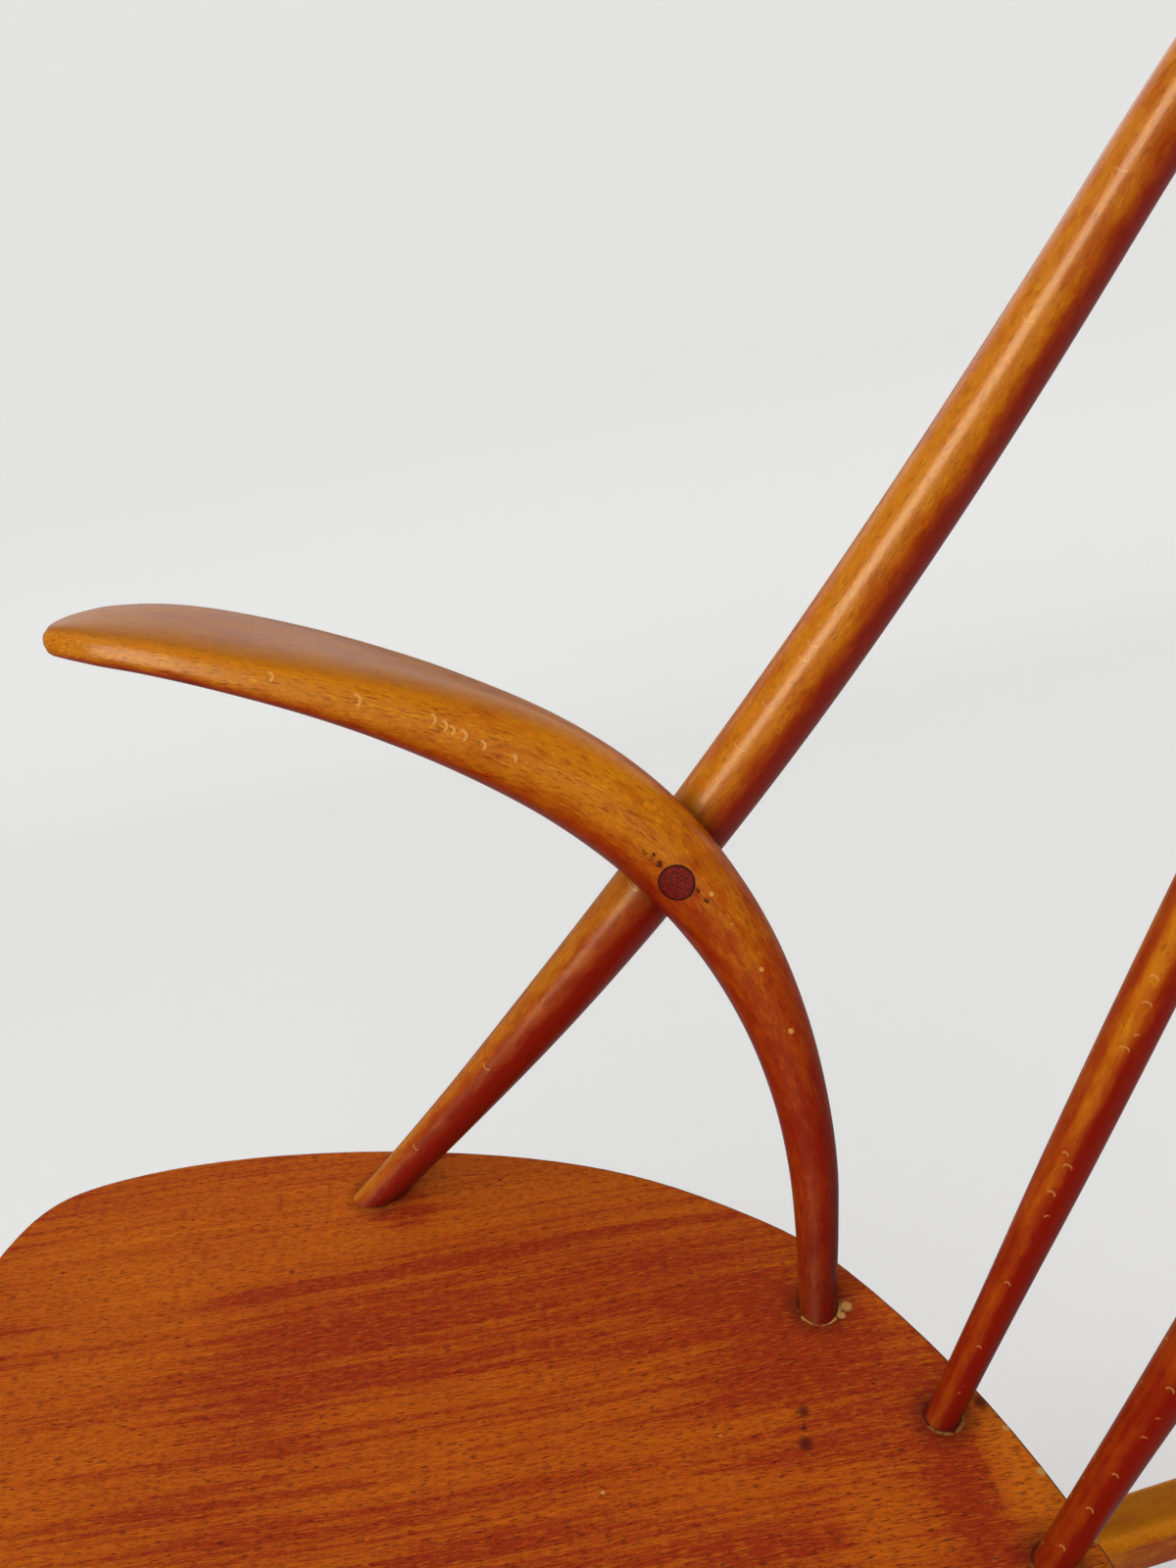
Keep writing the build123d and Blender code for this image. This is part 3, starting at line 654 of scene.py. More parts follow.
def barNodes():
    # a round bar that follows a line and keeps its grain as a place along and across it
    tree = bpy.data.node_groups.new("roundBar", "GeometryNodeTree")
    face = tree.interface
    kinds = {"Geometry": "Geometry", "Sides": "Int", "Grain Start": "Float",
             "Material": "Material"}
    for name, kind in kinds.items():
        face.new_socket(name, in_out="INPUT", socket_type="NodeSocket" + kind)
    face.new_socket("Geometry", in_out="OUTPUT", socket_type="NodeSocketGeometry")

    def fill(node, inputs):
        for name, value in inputs.items():
            if isinstance(value, bpy.types.NodeSocket):
                tree.links.new(value, node.inputs[name])
            else:
                node.inputs[name].default_value = value
        return node.outputs

    def add(kind, inputs, **settings):
        node = tree.nodes.new(kind)
        for name, value in settings.items():
            setattr(node, name, value)
        return fill(node, inputs)

    def keep(kind, geometry, kept):
        # values of a curve, kept for when it has become a skin
        node = tree.nodes.new("GeometryNodeCaptureAttribute")
        for name in kept:
            node.capture_items.new(kind, name)
        return fill(node, {"Geometry": geometry, **kept})

    given = add("NodeGroupInput", {})
    line = add("GeometryNodeMeshToCurve", {"Mesh": given["Geometry"]})
    radius = add("GeometryNodeInputNamedAttribute", {"Name": "barRadius"}, data_type="FLOAT")
    length = add("GeometryNodeSplineParameter", {})
    keptLine = keep("FLOAT", line["Curve"],
                    {"Along": length["Length"], "Bar Radius": radius["Attribute"]})
    ring = add("GeometryNodeCurvePrimitiveCircle", {"Resolution": given["Sides"], "Radius": 1.0})
    ringPlace = add("GeometryNodeInputPosition", {})
    keptRing = keep("VECTOR", ring["Curve"], {"Ring Place": ringPlace["Position"]})
    skin = add("GeometryNodeCurveToMesh",
               {"Curve": keptLine["Geometry"], "Profile Curve": keptRing["Geometry"],
                "Scale": keptLine["Bar Radius"], "Fill Caps": True})
    across = add("ShaderNodeVectorMath",
                 {0: keptRing["Ring Place"], "Scale": keptLine["Bar Radius"]}, operation="SCALE")
    splitAcross = add("ShaderNodeSeparateXYZ", {0: across[0]})
    along = add("ShaderNodeMath", {0: keptLine["Along"], 1: given["Grain Start"]}, operation="ADD")
    place = add("ShaderNodeCombineXYZ",
                {"X": splitAcross["X"], "Y": splitAcross["Y"], "Z": along[0]})
    store = add("GeometryNodeStoreNamedAttribute",
                {"Geometry": skin["Mesh"], "Name": "grain", "Value": place[0]},
                data_type="FLOAT_VECTOR", domain="POINT")
    smooth = add("GeometryNodeSetShadeSmooth", {"Geometry": store["Geometry"]})
    real = add("GeometryNodeRealizeInstances", {"Geometry": smooth["Geometry"]})
    paint = add("GeometryNodeSetMaterial",
                {"Geometry": real["Geometry"], "Material": given["Material"]})
    add("NodeGroupOutput", {"Geometry": paint["Geometry"]})
    return tree


barTree = barNodes()
barInputs = {item.name: item.identifier for item in barTree.interface.items_tree
             if item.in_out == "INPUT"}
sharpAngle = math.radians(40)


def placeObject(name, mesh):
    piece = bpy.data.objects.new(name, mesh)
    bpy.context.scene.collection.objects.link(piece)
    return piece


def closeSurface(mesh):
    # outward normals all over, and sharp edges where a cut end meets the side
    shape = bmesh.new()
    shape.from_mesh(mesh)
    bmesh.ops.recalc_face_normals(shape, faces=shape.faces[:])
    shape.to_mesh(mesh)
    shape.free()
    mesh.set_sharp_from_angle(angle=sharpAngle)


def makeBar(name, path, radii, grainStart, sides, material):
    line = bpy.data.meshes.new(name + "Line")
    line.from_pydata(path, [(i, i + 1) for i in range(len(path) - 1)], [])
    barRadius = line.attributes.new("barRadius", "FLOAT", "POINT")
    barRadius.data.foreach_set("value", radii)
    host = placeObject(name + "Line", line)
    modifier = host.modifiers.new("roundBar", "NODES")
    modifier.node_group = barTree
    modifier[barInputs["Sides"]] = sides
    modifier[barInputs["Grain Start"]] = grainStart
    modifier[barInputs["Material"]] = material
    graph = bpy.context.evaluated_depsgraph_get()
    mesh = bpy.data.meshes.new_from_object(host.evaluated_get(graph), depsgraph=graph)
    mesh.name = name
    bpy.data.objects.remove(host)
    closeSurface(mesh)
    return placeObject(name, mesh)


def trimBelow(piece, point, normal):
    # cuts a piece off at a plane, keeps what lies on the normal's side, and closes the cut
    shape = bmesh.new()
    shape.from_mesh(piece.data)
    everything = shape.verts[:] + shape.edges[:] + shape.faces[:]
    cut = bmesh.ops.bisect_plane(shape, geom=everything, plane_co=point, plane_no=normal,
                                 clear_inner=True)
    rim = [part for part in cut["geom_cut"] if isinstance(part, bmesh.types.BMEdge)]
    bmesh.ops.edgeloop_fill(shape, edges=rim)
    shape.to_mesh(piece.data)
    shape.free()
    closeSurface(piece.data)


def dress(piece, slotName, *replaced):
    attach(piece, "root")
    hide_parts(*replaced)


hoopValues = {
    "footX": 248.0,
    "footY": -71.5,
    "flare": 34.0,
    "shoulderZ": 370.0,
    "crownRise": 242.0,
    "rake": (1.1586, -1.080e-3, 6.34e-7),
    "sideZ": [-34.0, 0.0, 35.0, 60.0, 85.0, 120.0, 165.0, 210.0, 265.0, 318.0, 370.0],
    "sideDiameter": [14.6, 15.4, 19.4, 22.8, 25.5, 27.8, 29.1, 29.5, 28.8, 27.3, 25.2],
    "crownAngle": [14.0, 28.0, 43.0, 58.0, 74.0, 90.0],
    "crownDiameter": [24.6, 24.2, 23.8, 23.4, 23.1, 23.0],
    "sideSteps": 110,
    "crownSteps": 90,
    "sides": 56,
    "tenonEnd": -21.7,       # just inside the seat's underside, so that the wedges stand out
}


def hoopY(z):
    a, b, c = hoopValues["rake"]
    return hoopValues["footY"] + a * z + b * z ** 2 + c * z ** 3


def hoopSide(z):
    rest = 1 - z / hoopValues["shoulderZ"]
    return (hoopValues["footX"] + hoopValues["flare"] * (1 - rest ** 2), hoopY(z), z)


def hoopCrown(angle):
    z = hoopValues["shoulderZ"] + hoopValues["crownRise"] * math.sin(angle)
    return ((hoopValues["footX"] + hoopValues["flare"]) * math.cos(angle), hoopY(z), z)


def hoopCrownZ(x):
    part = x / (hoopValues["footX"] + hoopValues["flare"])
    return hoopValues["shoulderZ"] + hoopValues["crownRise"] * math.sqrt(1 - part ** 2)


def makeHoop():
    lowest = hoopValues["sideZ"][0]
    places = []
    for step in range(hoopValues["sideSteps"]):
        z = lowest + (hoopValues["shoulderZ"] - lowest) * step / hoopValues["sideSteps"]
        places.append(hoopSide(z))
    for step in range(hoopValues["crownSteps"] + 1):
        places.append(hoopCrown(math.pi / 2 * step / hoopValues["crownSteps"]))
    # the table of diameters, over the length from the foot
    knots = [hoopSide(z) for z in hoopValues["sideZ"]]
    knots += [hoopCrown(math.radians(angle)) for angle in hoopValues["crownAngle"]]
    diameters = hoopValues["sideDiameter"] + hoopValues["crownDiameter"]

    def lengths(line):
        total = [0.0]
        for before, after in zip(line, line[1:]):
            total.append(total[-1] + (Vector(after) - Vector(before)).length)
        return total

    knotAt = lengths(knots)
    placeAt = lengths(places)
    stretch = knotAt[-1] / placeAt[-1]
    radii = [smoothValue(knotAt, diameters, at * stretch) / 2 * millimetre for at in placeAt]
    left = [onSeat(*place) for place in places]
    right = [onSeat(-x, y, z) for x, y, z in reversed(places[:-1])]
    hoop = makeBar("hoopBar", left + right, radii + radii[-2::-1], 0.0, hoopValues["sides"],
                   bentBeech)
    trimBelow(hoop, onSeat(0, 0, hoopValues["tenonEnd"]), seatUp)
    dress(hoop, "frame_wood", "hoop")


makeHoop()

spindleValues = {
    "foot": [(-104.2, 124.7), (-52.7, 138.4), (0.0, 143.2), (52.7, 138.4), (104.2, 124.7)],
    "topX": [-162.6, -69.0, 0.0, 69.0, 162.6],
    "socketDepth": 15.7,
    "at": [0.0, 0.04, 0.11, 0.20, 0.32, 0.50, 0.68, 0.84, 1.0],
    "diameter": [10.6, 11.1, 12.4, 14.8, 15.7, 14.6, 12.6, 10.7, 9.2],
    "steps": 90,
    "grainStep": 1.7,        # metres between the grain of one spindle and that of the next
}
turnedSides = 40


def makeTurned(name, start, end, at, diameters, grainStart, steps):
    path = []
    radii = []
    for step in range(steps + 1):
        part = step / steps
        path.append(start.lerp(end, part))
        radii.append(smoothValue(at, diameters, part) / 2 * millimetre)
    return makeBar(name, path, radii, grainStart, turnedSides, turnedBeech)


def makeSpindles():
    ends = zip(spindleValues["foot"], spindleValues["topX"])
    for number, (foot, topX) in enumerate(ends, start=1):
        topZ = hoopCrownZ(topX)
        seatPoint = onSeat(*foot, 0)
        top = onSeat(topX, hoopY(topZ), topZ)
        direction = (top - seatPoint).normalized()
        sunk = spindleValues["socketDepth"] * millimetre / direction.dot(seatUp)
        bar = makeTurned(f"spindleBar{number}", seatPoint - direction * sunk, top,
                         spindleValues["at"], spindleValues["diameter"],
                         number * spindleValues["grainStep"], spindleValues["steps"])
        dress(bar, "frame_wood", f"spindle_{number}")


makeSpindles()
print("hoop and spindles made")

armValues = {
    "footX": 155.0,
    "lean": math.radians(31.0),
    # y, rise up the leaning plane, half width, half depth, twist in degrees, squareness of the
    # upper and of the lower half
    "stations": [
        (91.6, -40.0, 6.9, 6.9, 0.0, 2.0, 2.0),
        (96.6, 0.0, 7.0, 7.0, 0.0, 2.0, 2.0),
        (100.3, 26.3, 8.0, 8.0, 0.0, 2.0, 2.0),
        (102.6, 52.0, 9.3, 9.3, 0.0, 2.0, 2.0),
        (101.6, 78.0, 10.5, 10.4, 0.0, 2.0, 2.0),
        (97.0, 105.5, 12.2, 12.1, 0.0, 2.0, 2.0),
        (88.5, 132.5, 14.1, 14.1, 0.0, 2.1, 2.1),
        (76.6, 156.9, 16.0, 15.9, 0.0, 2.1, 2.1),
        (59.3, 182.4, 17.4, 17.7, 1.5, 2.2, 2.2),
        (37.8, 204.8, 19.3, 18.5, 7.0, 2.4, 2.2),
        (13.4, 223.7, 21.3, 17.7, 14.5, 2.6, 2.3),
        (-19.7, 243.3, 23.5, 14.8, 22.5, 3.0, 2.3),
        (-54.1, 259.9, 24.7, 11.6, 28.5, 3.4, 2.3),
        (-89.0, 273.8, 24.2, 9.3, 32.5, 3.6, 2.3),
        (-118.0, 283.1, 21.3, 8.2, 34.5, 3.7, 2.3),
        (-140.0, 287.5, 16.4, 7.2, 35.5, 3.6, 2.3),
        (-151.5, 288.6, 11.1, 6.2, 35.5, 3.4, 2.3),
        (-158.5, 288.8, 6.9, 5.0, 35.5, 3.0, 2.3),
        (-161.4, 288.9, 4.4, 3.8, 35.5, 2.5, 2.2),
        (-162.8, 288.9, 2.0, 2.0, 35.5, 2.2, 2.2),
    ],
    "slant": 0.85,           # the sides stay nearly in the bending plane while the top turns level
    "tangentReach": 0.5,
    "steps": 240,
    "sides": 72,
}


def makeSkin(name, points, faces, grains, material):
    mesh = bpy.data.meshes.new(name)
    mesh.from_pydata(points, [], faces)
    attribute = mesh.attributes.new("grain", "FLOAT_VECTOR", "POINT")
    attribute.data.foreach_set("vector", [value for place in grains for value in place])
    mesh.polygons.foreach_set("use_smooth", [True] * len(faces))
    mesh.materials.append(material)
    closeSurface(mesh)
    return placeObject(name, mesh)


def skinRings(name, rings, grains, material):
    # a closed skin over rings of points, with a flat cap at each end
    count = len(rings[0])
    faces = []
    for ring in range(len(rings) - 1):
        for side in range(count):
            after = (side + 1) % count
            faces.append((ring * count + side, ring * count + after,
                          (ring + 1) * count + after, (ring + 1) * count + side))
    lastStart = (len(rings) - 1) * count
    faces.append(tuple(range(count - 1, -1, -1)))
    faces.append(tuple(range(lastStart, lastStart + count)))
    points = [point for ring in rings for point in ring]
    return makeSkin(name, points, faces, [place for ring in grains for place in ring], material)


def armRings():
    lean = armValues["lean"]
    stations = armValues["stations"]
    outward = Vector((math.cos(lean), 0, -math.sin(lean)))
    knots = [Vector((armValues["footX"] + rise * math.sin(lean), y, rise * math.cos(lean)))
             for y, rise, *_ in stations]
    knotAt = [0.0]
    for before, after in zip(knots, knots[1:]):
        knotAt.append(knotAt[-1] + (after - before).length)
    columns = list(zip(*stations))[2:]

    def pointAt(place):
        return Vector([smoothValue(knotAt, [knot[axis] for knot in knots], place)
                       for axis in range(3)])

    rings = []
    grains = []
    step = knotAt[-1] / armValues["steps"]
    for number in range(armValues["steps"] + 1):
        place = number * step
        point = pointAt(place)
        before = pointAt(max(place - armValues["tangentReach"], 0))
        after = pointAt(min(place + armValues["tangentReach"], knotAt[-1]))
        tangent = (after - before).normalized()
        halfWidth, halfDepth, twist, upper, lower = [smoothValue(knotAt, column, place)
                                                     for column in columns]
        wide = (outward - tangent * outward.dot(tangent)).normalized()
        deep = tangent.cross(wide)
        turn = math.radians(twist)
        slant = armValues["slant"] * math.tan(turn)
        wide, deep = (wide * math.cos(turn) + deep * math.sin(turn),
                      deep * math.cos(turn) - wide * math.sin(turn))
        ring = []
        grain = []
        for side in range(armValues["sides"]):
            angle = 2 * math.pi * side / armValues["sides"]
            c, s = math.cos(angle), math.sin(angle)
            squareness = upper if s >= 0 else lower
            x = halfWidth * math.copysign(abs(c) ** (2 / squareness), c)
            y = halfDepth * math.copysign(abs(s) ** (2 / squareness), s)
            x += slant * y
            ring.append(point + wide * x + deep * y)
            grain.append((x * millimetre, y * millimetre, place * millimetre))
        rings.append(ring)
        grains.append(grain)
    return rings, grains


def makeArms():
    rings, grains = armRings()
    for side, hand in hands:
        placed = [[onSeat(side * point.x, point.y, point.z) for point in ring] for ring in rings]
        arm = skinRings("arm" + hand, placed, grains, armBeech)
        trimBelow(arm, onSeat(0, 0, hoopValues["tenonEnd"]), seatUp)
        dress(arm, "frame_wood", "arm_" + hand.lower())


makeArms()

plugValues = {
    "middle": (226.3, 63.2, 149.8),
    "aimedAt": (268.5, 68.6, 137.0),
    "radius": 7.0,
    "proud": 0.12,
    "depth": 3.0,
    "lookFrom": 20.0,        # over the arm's face, where the rays that find it start
    "rings": 10,
    "sides": 56,
}


def makePlug(side, hand):
    # a plug that follows the face of the arm
    arm = bpy.data.objects["arm" + hand].data
    surface = BVHTree.FromPolygons([point.co for point in arm.vertices],
                                   [tuple(face.vertices) for face in arm.polygons])
    middle, aimedAt = [onSeat(side * x, y, z)
                       for x, y, z in (plugValues["middle"], plugValues["aimedAt"])]
    inward = (aimedAt - middle).normalized()
    across = inward.cross(seatUp).normalized()
    upward = across.cross(inward)
    start = middle - inward * plugValues["lookFrom"] * millimetre
    rings = plugValues["rings"]
    sides = plugValues["sides"]
    points = []
    grains = []

    def addPoint(x, y, sunk=0.0):
        hit = surface.ray_cast(start + (across * x + upward * y) * millimetre, inward)[0]
        points.append(hit + inward * (sunk - plugValues["proud"]) * millimetre)
        grains.append((x * millimetre, y * millimetre, sunk * millimetre))

    def addRing(radius, sunk=0.0):
        for number in range(sides):
            angle = 2 * math.pi * number / sides
            addPoint(radius * math.cos(angle), radius * math.sin(angle), sunk)

    addPoint(0, 0)
    for ring in range(1, rings + 1):
        addRing(plugValues["radius"] * ring / rings)
    addRing(plugValues["radius"], plugValues["depth"])
    faces = []
    for number in range(sides):
        after = (number + 1) % sides
        faces.append((0, 1 + number, 1 + after))
        for ring in range(rings):
            inner = 1 + ring * sides
            outer = inner + sides
            faces.append((inner + number, outer + number, outer + after, inner + after))
    faces.append(tuple(range(1 + rings * sides, 1 + (rings + 1) * sides)))
    plug = makeSkin("armPlug" + hand, points, faces, grains, plugWood)
    dress(plug, "frame_wood", "arm_plug_" + hand.lower())


for side, hand in hands:
    makePlug(side, hand)
print("arms made")

rockerValues = {
    "toeIn": math.radians(1.7),
    "radius": 1500.0,
    "width": 28.0,
    "height": 40.0,
    "corner": 10.5,
    "cornerLeft": 1.0,       # the radius that is left of each corner at the rounded ends
    "frontReach": 337.0,
    "rearReach": 420.0,
    "steps": 160,
    "cornerSteps": 8,
    "endSteps": 8,
    "grainShift": 5000.0,
}


def roundedSection(width, height, corner):
    points = []
    steps = rockerValues["cornerSteps"]
    for quarter, (sideX, sideZ) in enumerate(((1, 1), (-1, 1), (-1, -1), (1, -1))):
        for step in range(steps + 1):
            angle = math.pi / 2 * (quarter + step / steps)
            x = sideX * (width / 2 - corner) + corner * math.cos(angle)
            z = sideZ * (height / 2 - corner) + corner * math.sin(angle)
            points.append((x, z))
    return points


def rockerFrame(side):
    contact = Vector(mounts["left_rocker_line"]["pos_m"])
    contact.x *= side
    turn = side * rockerValues["toeIn"]
    along = Vector((-math.sin(turn), math.cos(turn), 0))
    across = Vector((math.cos(turn), math.sin(turn), 0))
    return contact, across, along


def rockerPoint(side, across, along, height):
    # a place along the rocker, at a height over its underside
    contact, sideways, forwards = rockerFrame(side)
    bottom = rockerValues["radius"] - math.sqrt(rockerValues["radius"] ** 2 - along ** 2)
    offset = sideways * across + forwards * along + Vector((0, 0, bottom + height))
    return contact + offset * millimetre


def makeRocker(side, hand):
    middle = rockerValues["radius"] - rockerValues["height"] / 2
    front = -math.asin(rockerValues["frontReach"] / middle)
    rear = math.asin(rockerValues["rearReach"] / middle)
    fillet = rockerValues["corner"] - rockerValues["cornerLeft"]
    reach = fillet / middle
    stations = []
    for step in range(rockerValues["endSteps"]):
        turn = math.pi / 2 * (1 - step / rockerValues["endSteps"])
        stations.append((front + reach * (1 - math.sin(turn)), fillet * (1 - math.cos(turn))))
    straight = rear - front - 2 * reach
    for step in range(rockerValues["steps"] + 1):
        stations.append((front + reach + straight * step / rockerValues["steps"], 0.0))
    stations += [(front + rear - angle, inset) for angle, inset in
                 reversed(stations[:rockerValues["endSteps"]])]
    contact, across, along = rockerFrame(side)
    up = Vector((0, 0, 1))
    rings = []
    grains = []
    for angle, inset in stations:
        ring = []
        grain = []
        outline = roundedSection(rockerValues["width"] - 2 * inset,
                                 rockerValues["height"] - 2 * inset,
                                 rockerValues["corner"] - inset)
        for x, z in outline:
            distance = middle - z
            place = (across * x + along * distance * math.sin(angle)
                     + up * (rockerValues["radius"] - distance * math.cos(angle)))
            ring.append(contact + place * millimetre)
            grainAlong = angle * middle + rockerValues["grainShift"] * side
            grain.append((x * millimetre, z * millimetre, grainAlong * millimetre))
        rings.append(ring)
        grains.append(grain)
    rocker = skinRings("rocker" + hand, rings, grains, rockerBeech)
    dress(rocker, "frame_wood", "rocker_" + hand.lower())


for side, hand in hands:
    makeRocker(side, hand)

legValues = {
    "front": {"top": (186.0, -150.0), "foot": -212.0},
    "rear": {"top": (146.0, 52.0), "foot": 189.0},
    "seatThickness": 22.0,
    "tenon": 24.0,
    "at": [0.0, 0.10, 0.30, 0.55, 0.80, 0.93, 1.0],
    "diameter": [19.0, 21.0, 27.5, 33.0, 30.0, 25.5, 24.0],
    "overrun": 12.0,
    "inSeat": 0.5,           # the top is cut this far inside the seat
    "stretcherPart": 0.34,
    "stretcherTenon": 12.0,
    "stretcherAt": [0.0, 0.08, 0.5, 0.92, 1.0],
    "stretcherDiameter": [13.0, 14.5, 21.0, 14.5, 13.0],
    "steps": 80,
    "grainStart": 20.0,      # metres along the grain, and from one leg to the next
    "grainStep": 1.3,
}


def makeLegs():
    grainStart = legValues["grainStart"]
    steps = legValues["steps"]
    for name in ("front", "rear"):
        top = legValues[name]["top"]
        foot = legValues[name]["foot"]
        ends = []
        for side, hand in hands:
            upper = onSeat(side * top[0], top[1], -legValues["seatThickness"])
            rockerTop = rockerPoint(side, 0, foot, rockerValues["height"])
            direction = (upper - rockerTop).normalized()
            lower = rockerTop - direction * legValues["tenon"] * millimetre
            upper = upper + direction * legValues["overrun"] * millimetre
            leg = makeTurned(name + "Leg" + hand, lower, upper, legValues["at"],
                             legValues["diameter"], grainStart, steps)
            trimBelow(leg, onSeat(0, 0, legValues["inSeat"] - legValues["seatThickness"]), -seatUp)
            dress(leg, "frame_wood", f"{name}_{hand.lower()}_leg")
            ends.append(lower.lerp(upper, legValues["stretcherPart"]))
            grainStart += legValues["grainStep"]
        inward = (legValues["stretcherTenon"] - legValues["diameter"][2] / 2) * millimetre
        left = ends[0] + Vector((inward, 0, 0))
        right = ends[1] - Vector((inward, 0, 0))
        stretcher = makeTurned(name + "Stretcher", right, left, legValues["stretcherAt"],
                               legValues["stretcherDiameter"], grainStart, steps)
        dress(stretcher, "frame_wood", f"{name}_stretcher")


makeLegs()
print("rockers, legs and stretchers made")

# the frame's own solids that keep their shape
nodeMaterials = {
    "seat_top_veneer": veneer,
    "seat_bottom_veneer": veneer,
    "seat_core": plywood,
    "front_seat_rail": railWood,
    "rear_seat_rail": railWood,
    "seat_rail_screws": screwSteel,
    "arm_screw_left": screwSteel,
    "arm_screw_right": screwSteel,
    "arm_wedge_left": wedgeWood,
    "arm_wedge_right": wedgeWood,
    "hoop_wedge_left": wedgeWood,
    "hoop_wedge_right": wedgeWood,
    "rocker_pins": wedgeWood,
}
for node, material in nodeMaterials.items():
    solid = frame["nodes"][node]
    solid.data.materials.clear()
    solid.data.materials.append(material)

stageValues = {
    "colour": (0.60, 0.60, 0.59),
    "lift": (1.0, 1.0, 0.99),
    "floorLift": 0.36,       # what the camera sees beyond the lit colour, to keep the room pale
    "wallLift": 0.37,
    "mirrored": 1.60,        # what shiny faces see of the upper wall, beside the chair
    "mirroredLow": 0.22,     # and of the floor and the lower wall
    "mirroredFrom": (0.75, 1.25),
    "mirroredBeside": (-1.7, -0.9),
    "mirroredColour": (0.10, 0.10, 0.10),
    "wallFoot": ((-1.950, -0.980), (-2.027, 1.342)),
    "coveRadius": 0.45,
    "coveSteps": 24,
    "reach": 6.0,
}


def stageMaterial():
    # the lift rises from the floor's to the wall's value with the height
    shading = newShading("paleRoom")
    _, beside, height = shading.parts(shading.objectPlace())
    lift = shading.ramp(height, 0.0, stageValues["coveRadius"], stageValues["floorLift"],
                        stageValues["wallLift"])
    path = shading.add("LightPath", {})
    seen = shading.product(path["Is Camera Ray"], lift)
    mirrored = path["Is Glossy Ray"]
    upper = shading.ramp(height, *stageValues["mirroredFrom"], 0.0, stageValues["mirrored"])
    upper = shading.product(upper, shading.ramp(beside, *stageValues["mirroredBeside"]))
    upper = shading.most(upper, stageValues["mirroredLow"])
    strength = shading.total(seen, shading.product(mirrored, upper))
    colour = shading.blend(mirrored, stageValues["colour"], stageValues["mirroredColour"])
    return shading.finish(colour, 1.0, Specular_IOR_Level=0.0, Emission_Strength=strength,
                          Emission_Color=stageValues["lift"])


def makeStage():
    # a floor that curves up into the wall behind
    reach = stageValues["reach"]
    radius = stageValues["coveRadius"]
    near, far = [Vector((*place, 0)) for place in stageValues["wallFoot"]]
    along = (far - near).normalized()
    forwards = Vector((along.y, -along.x, 0))
    middle = (near + far) / 2
    profile = [(2 * reach, 0.0)]
    for step in range(stageValues["coveSteps"] + 1):
        angle = math.pi / 2 * step / stageValues["coveSteps"]
        profile.append((radius * (1 - math.sin(angle)), radius * (1 - math.cos(angle))))
    profile.append((0.0, reach))
    points = [middle + along * side * reach + forwards * out + Vector((0, 0, up))
              for out, up in profile for side in (-1, 1)]
    faces = [(2 * i, 2 * i + 1, 2 * i + 3, 2 * i + 2) for i in range(len(profile) - 1)]
    mesh = bpy.data.meshes.new("studio")
    mesh.from_pydata(points, [], faces)
    mesh.polygons.foreach_set("use_smooth", [True] * len(faces))
    mesh.materials.append(stageMaterial())
    placeObject("studio", mesh)


makeStage()

# direction towards the light, strength, width in degrees, seen as light or as a gleam
lightValues = {
    "worldStrength": 0.45,
    "worldMirrored": 0.03,   # what shiny faces see of it
    "overhead": ((-0.35, -0.45, 0.82), 1.25, 45.0, "diffuse"),
    "fill": ((0.65, -0.30, 0.55), 1.00, 60.0, "diffuse"),
    "window": ((0.571, -0.551, 0.609), 2.60, 28.0, "glossy"),
    "lamp": ((0.877, 0.155, 0.454), 0.06, 8.0, "glossy"),
}


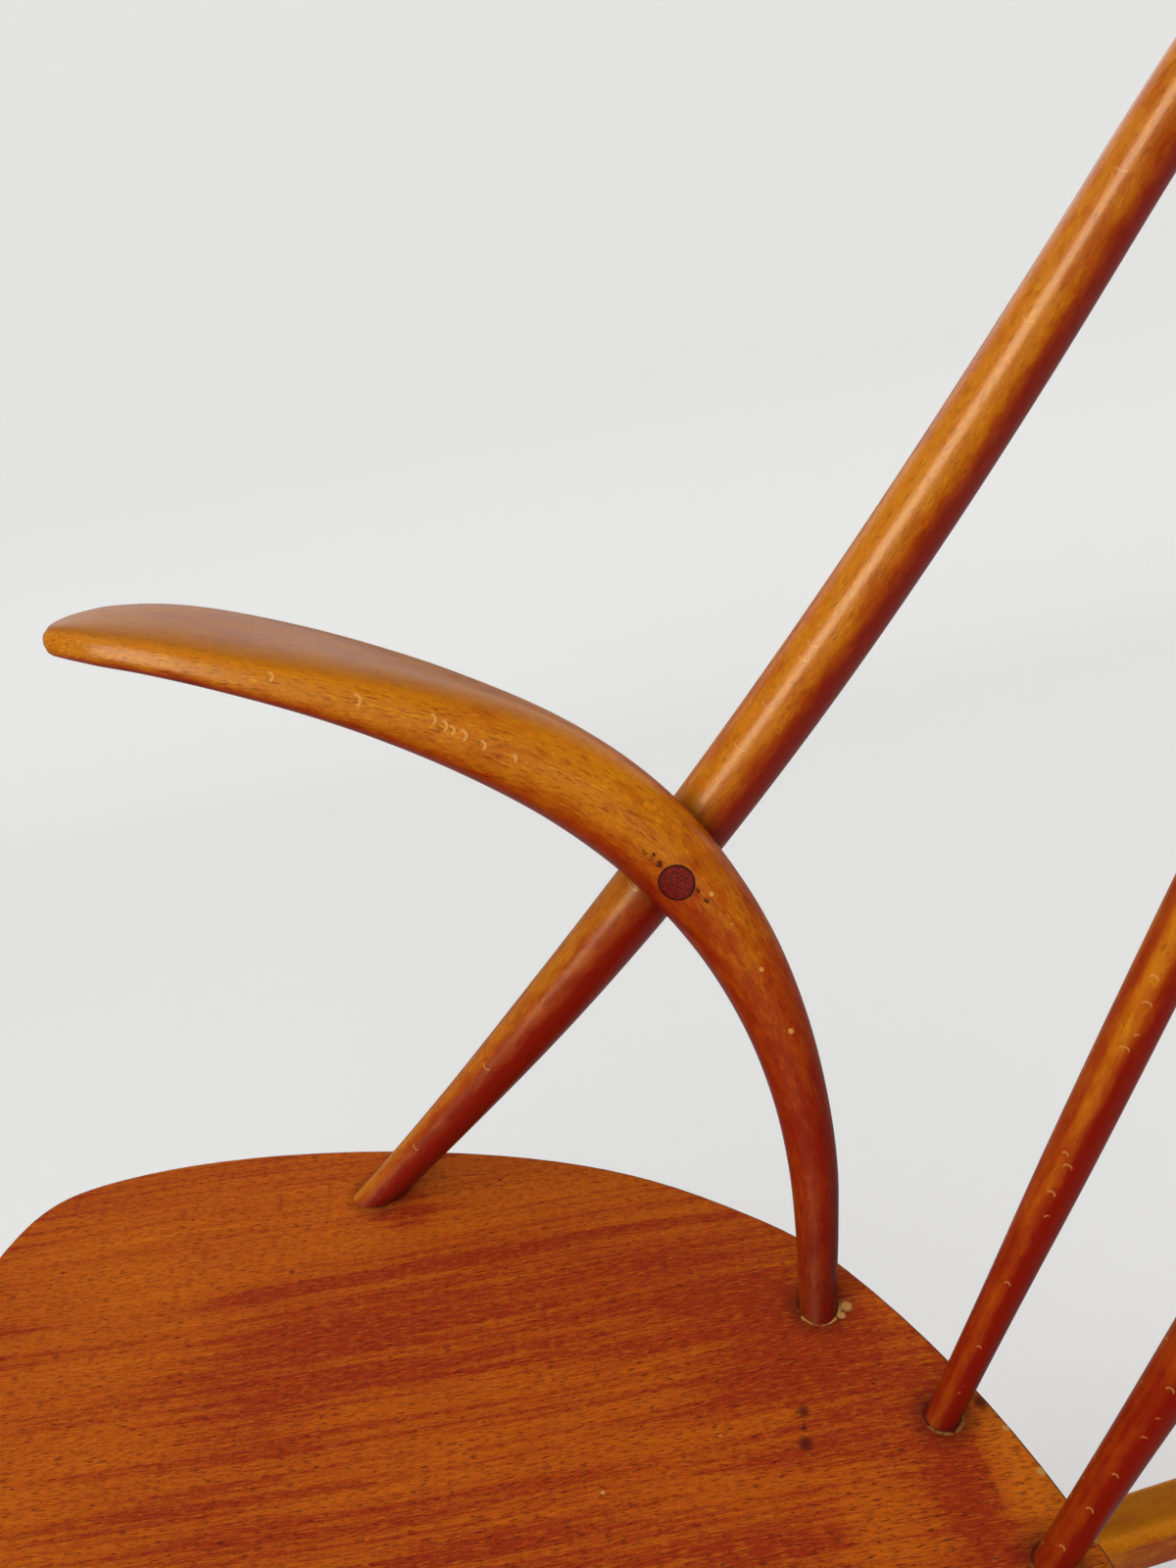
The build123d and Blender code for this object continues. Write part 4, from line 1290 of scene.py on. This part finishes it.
def makeLight(name):
    direction, strength, width, kind = lightValues[name]
    lamp = bpy.data.lights.new(name, "SUN")
    lamp.energy = strength
    lamp.angle = math.radians(width)
    holder = bpy.data.objects.new(name, lamp)
    holder.rotation_mode = "QUATERNION"
    holder.rotation_quaternion = Vector(direction).to_track_quat("Z", "Y")
    holder.visible_diffuse = kind == "diffuse"
    holder.visible_glossy = kind == "glossy"
    bpy.context.scene.collection.objects.link(holder)


def makeWorld():
    world = bpy.data.worlds.new("room")
    bpy.context.scene.world = world
    room = Shading(world)
    mirrored = room.add("LightPath", {})["Is Glossy Ray"]
    strength = room.ramp(mirrored, 0.0, 1.0, lightValues["worldStrength"],
                         lightValues["worldMirrored"])
    room.put(room.nodes["Background"].inputs["Color"], (1.0, 1.0, 1.0))
    room.put(room.nodes["Background"].inputs["Strength"], strength)


makeWorld()
for lightName in ("overhead", "fill", "window", "lamp"):
    makeLight(lightName)

cameraValues = {
    "place": (148.13, 0.0, 378.97),
    "pitch": math.radians(26.0),       # down from the seat's plane
    "roll": math.radians(5.0),
    "yaw": math.radians(5.07),
    "focal": 1200.0,                   # in the same pixels as the picture's height
    "pictureHeight": 1600.0,
    "sensor": 36.0,
}


def makeCamera():
    pitch = cameraValues["pitch"]
    roll = cameraValues["roll"]
    yaw = cameraValues["yaw"]

    def turned(right, forward, up):
        # across the sight line, along it and up, turned by the yaw: the sight line runs to -x
        u = right * math.cos(yaw) + forward * math.sin(yaw)
        v = forward * math.cos(yaw) - right * math.sin(yaw)
        return onSeatDirection(-v, u, up)

    upForward, upUp = math.sin(pitch), math.cos(pitch)
    rightAxis = turned(math.cos(roll), -upForward * math.sin(roll), -upUp * math.sin(roll))
    upAxis = turned(math.sin(roll), upForward * math.cos(roll), upUp * math.cos(roll))
    sight = turned(0.0, math.cos(pitch), -math.sin(pitch))
    data = bpy.data.cameras.new("camera")
    data.sensor_width = cameraValues["sensor"]
    data.lens = cameraValues["focal"] * cameraValues["sensor"] / cameraValues["pictureHeight"]
    camera = bpy.data.objects.new("camera", data)
    bpy.context.scene.collection.objects.link(camera)
    turn = Matrix((rightAxis, upAxis, -sight)).transposed()
    camera.rotation_mode = "QUATERNION"
    camera.rotation_quaternion = turn.to_quaternion()
    camera.location = onSeat(*cameraValues["place"])
    bpy.context.scene.camera = camera


makeCamera()
bpy.context.scene.view_settings.view_transform = "Standard"
print("stage, light and camera made")
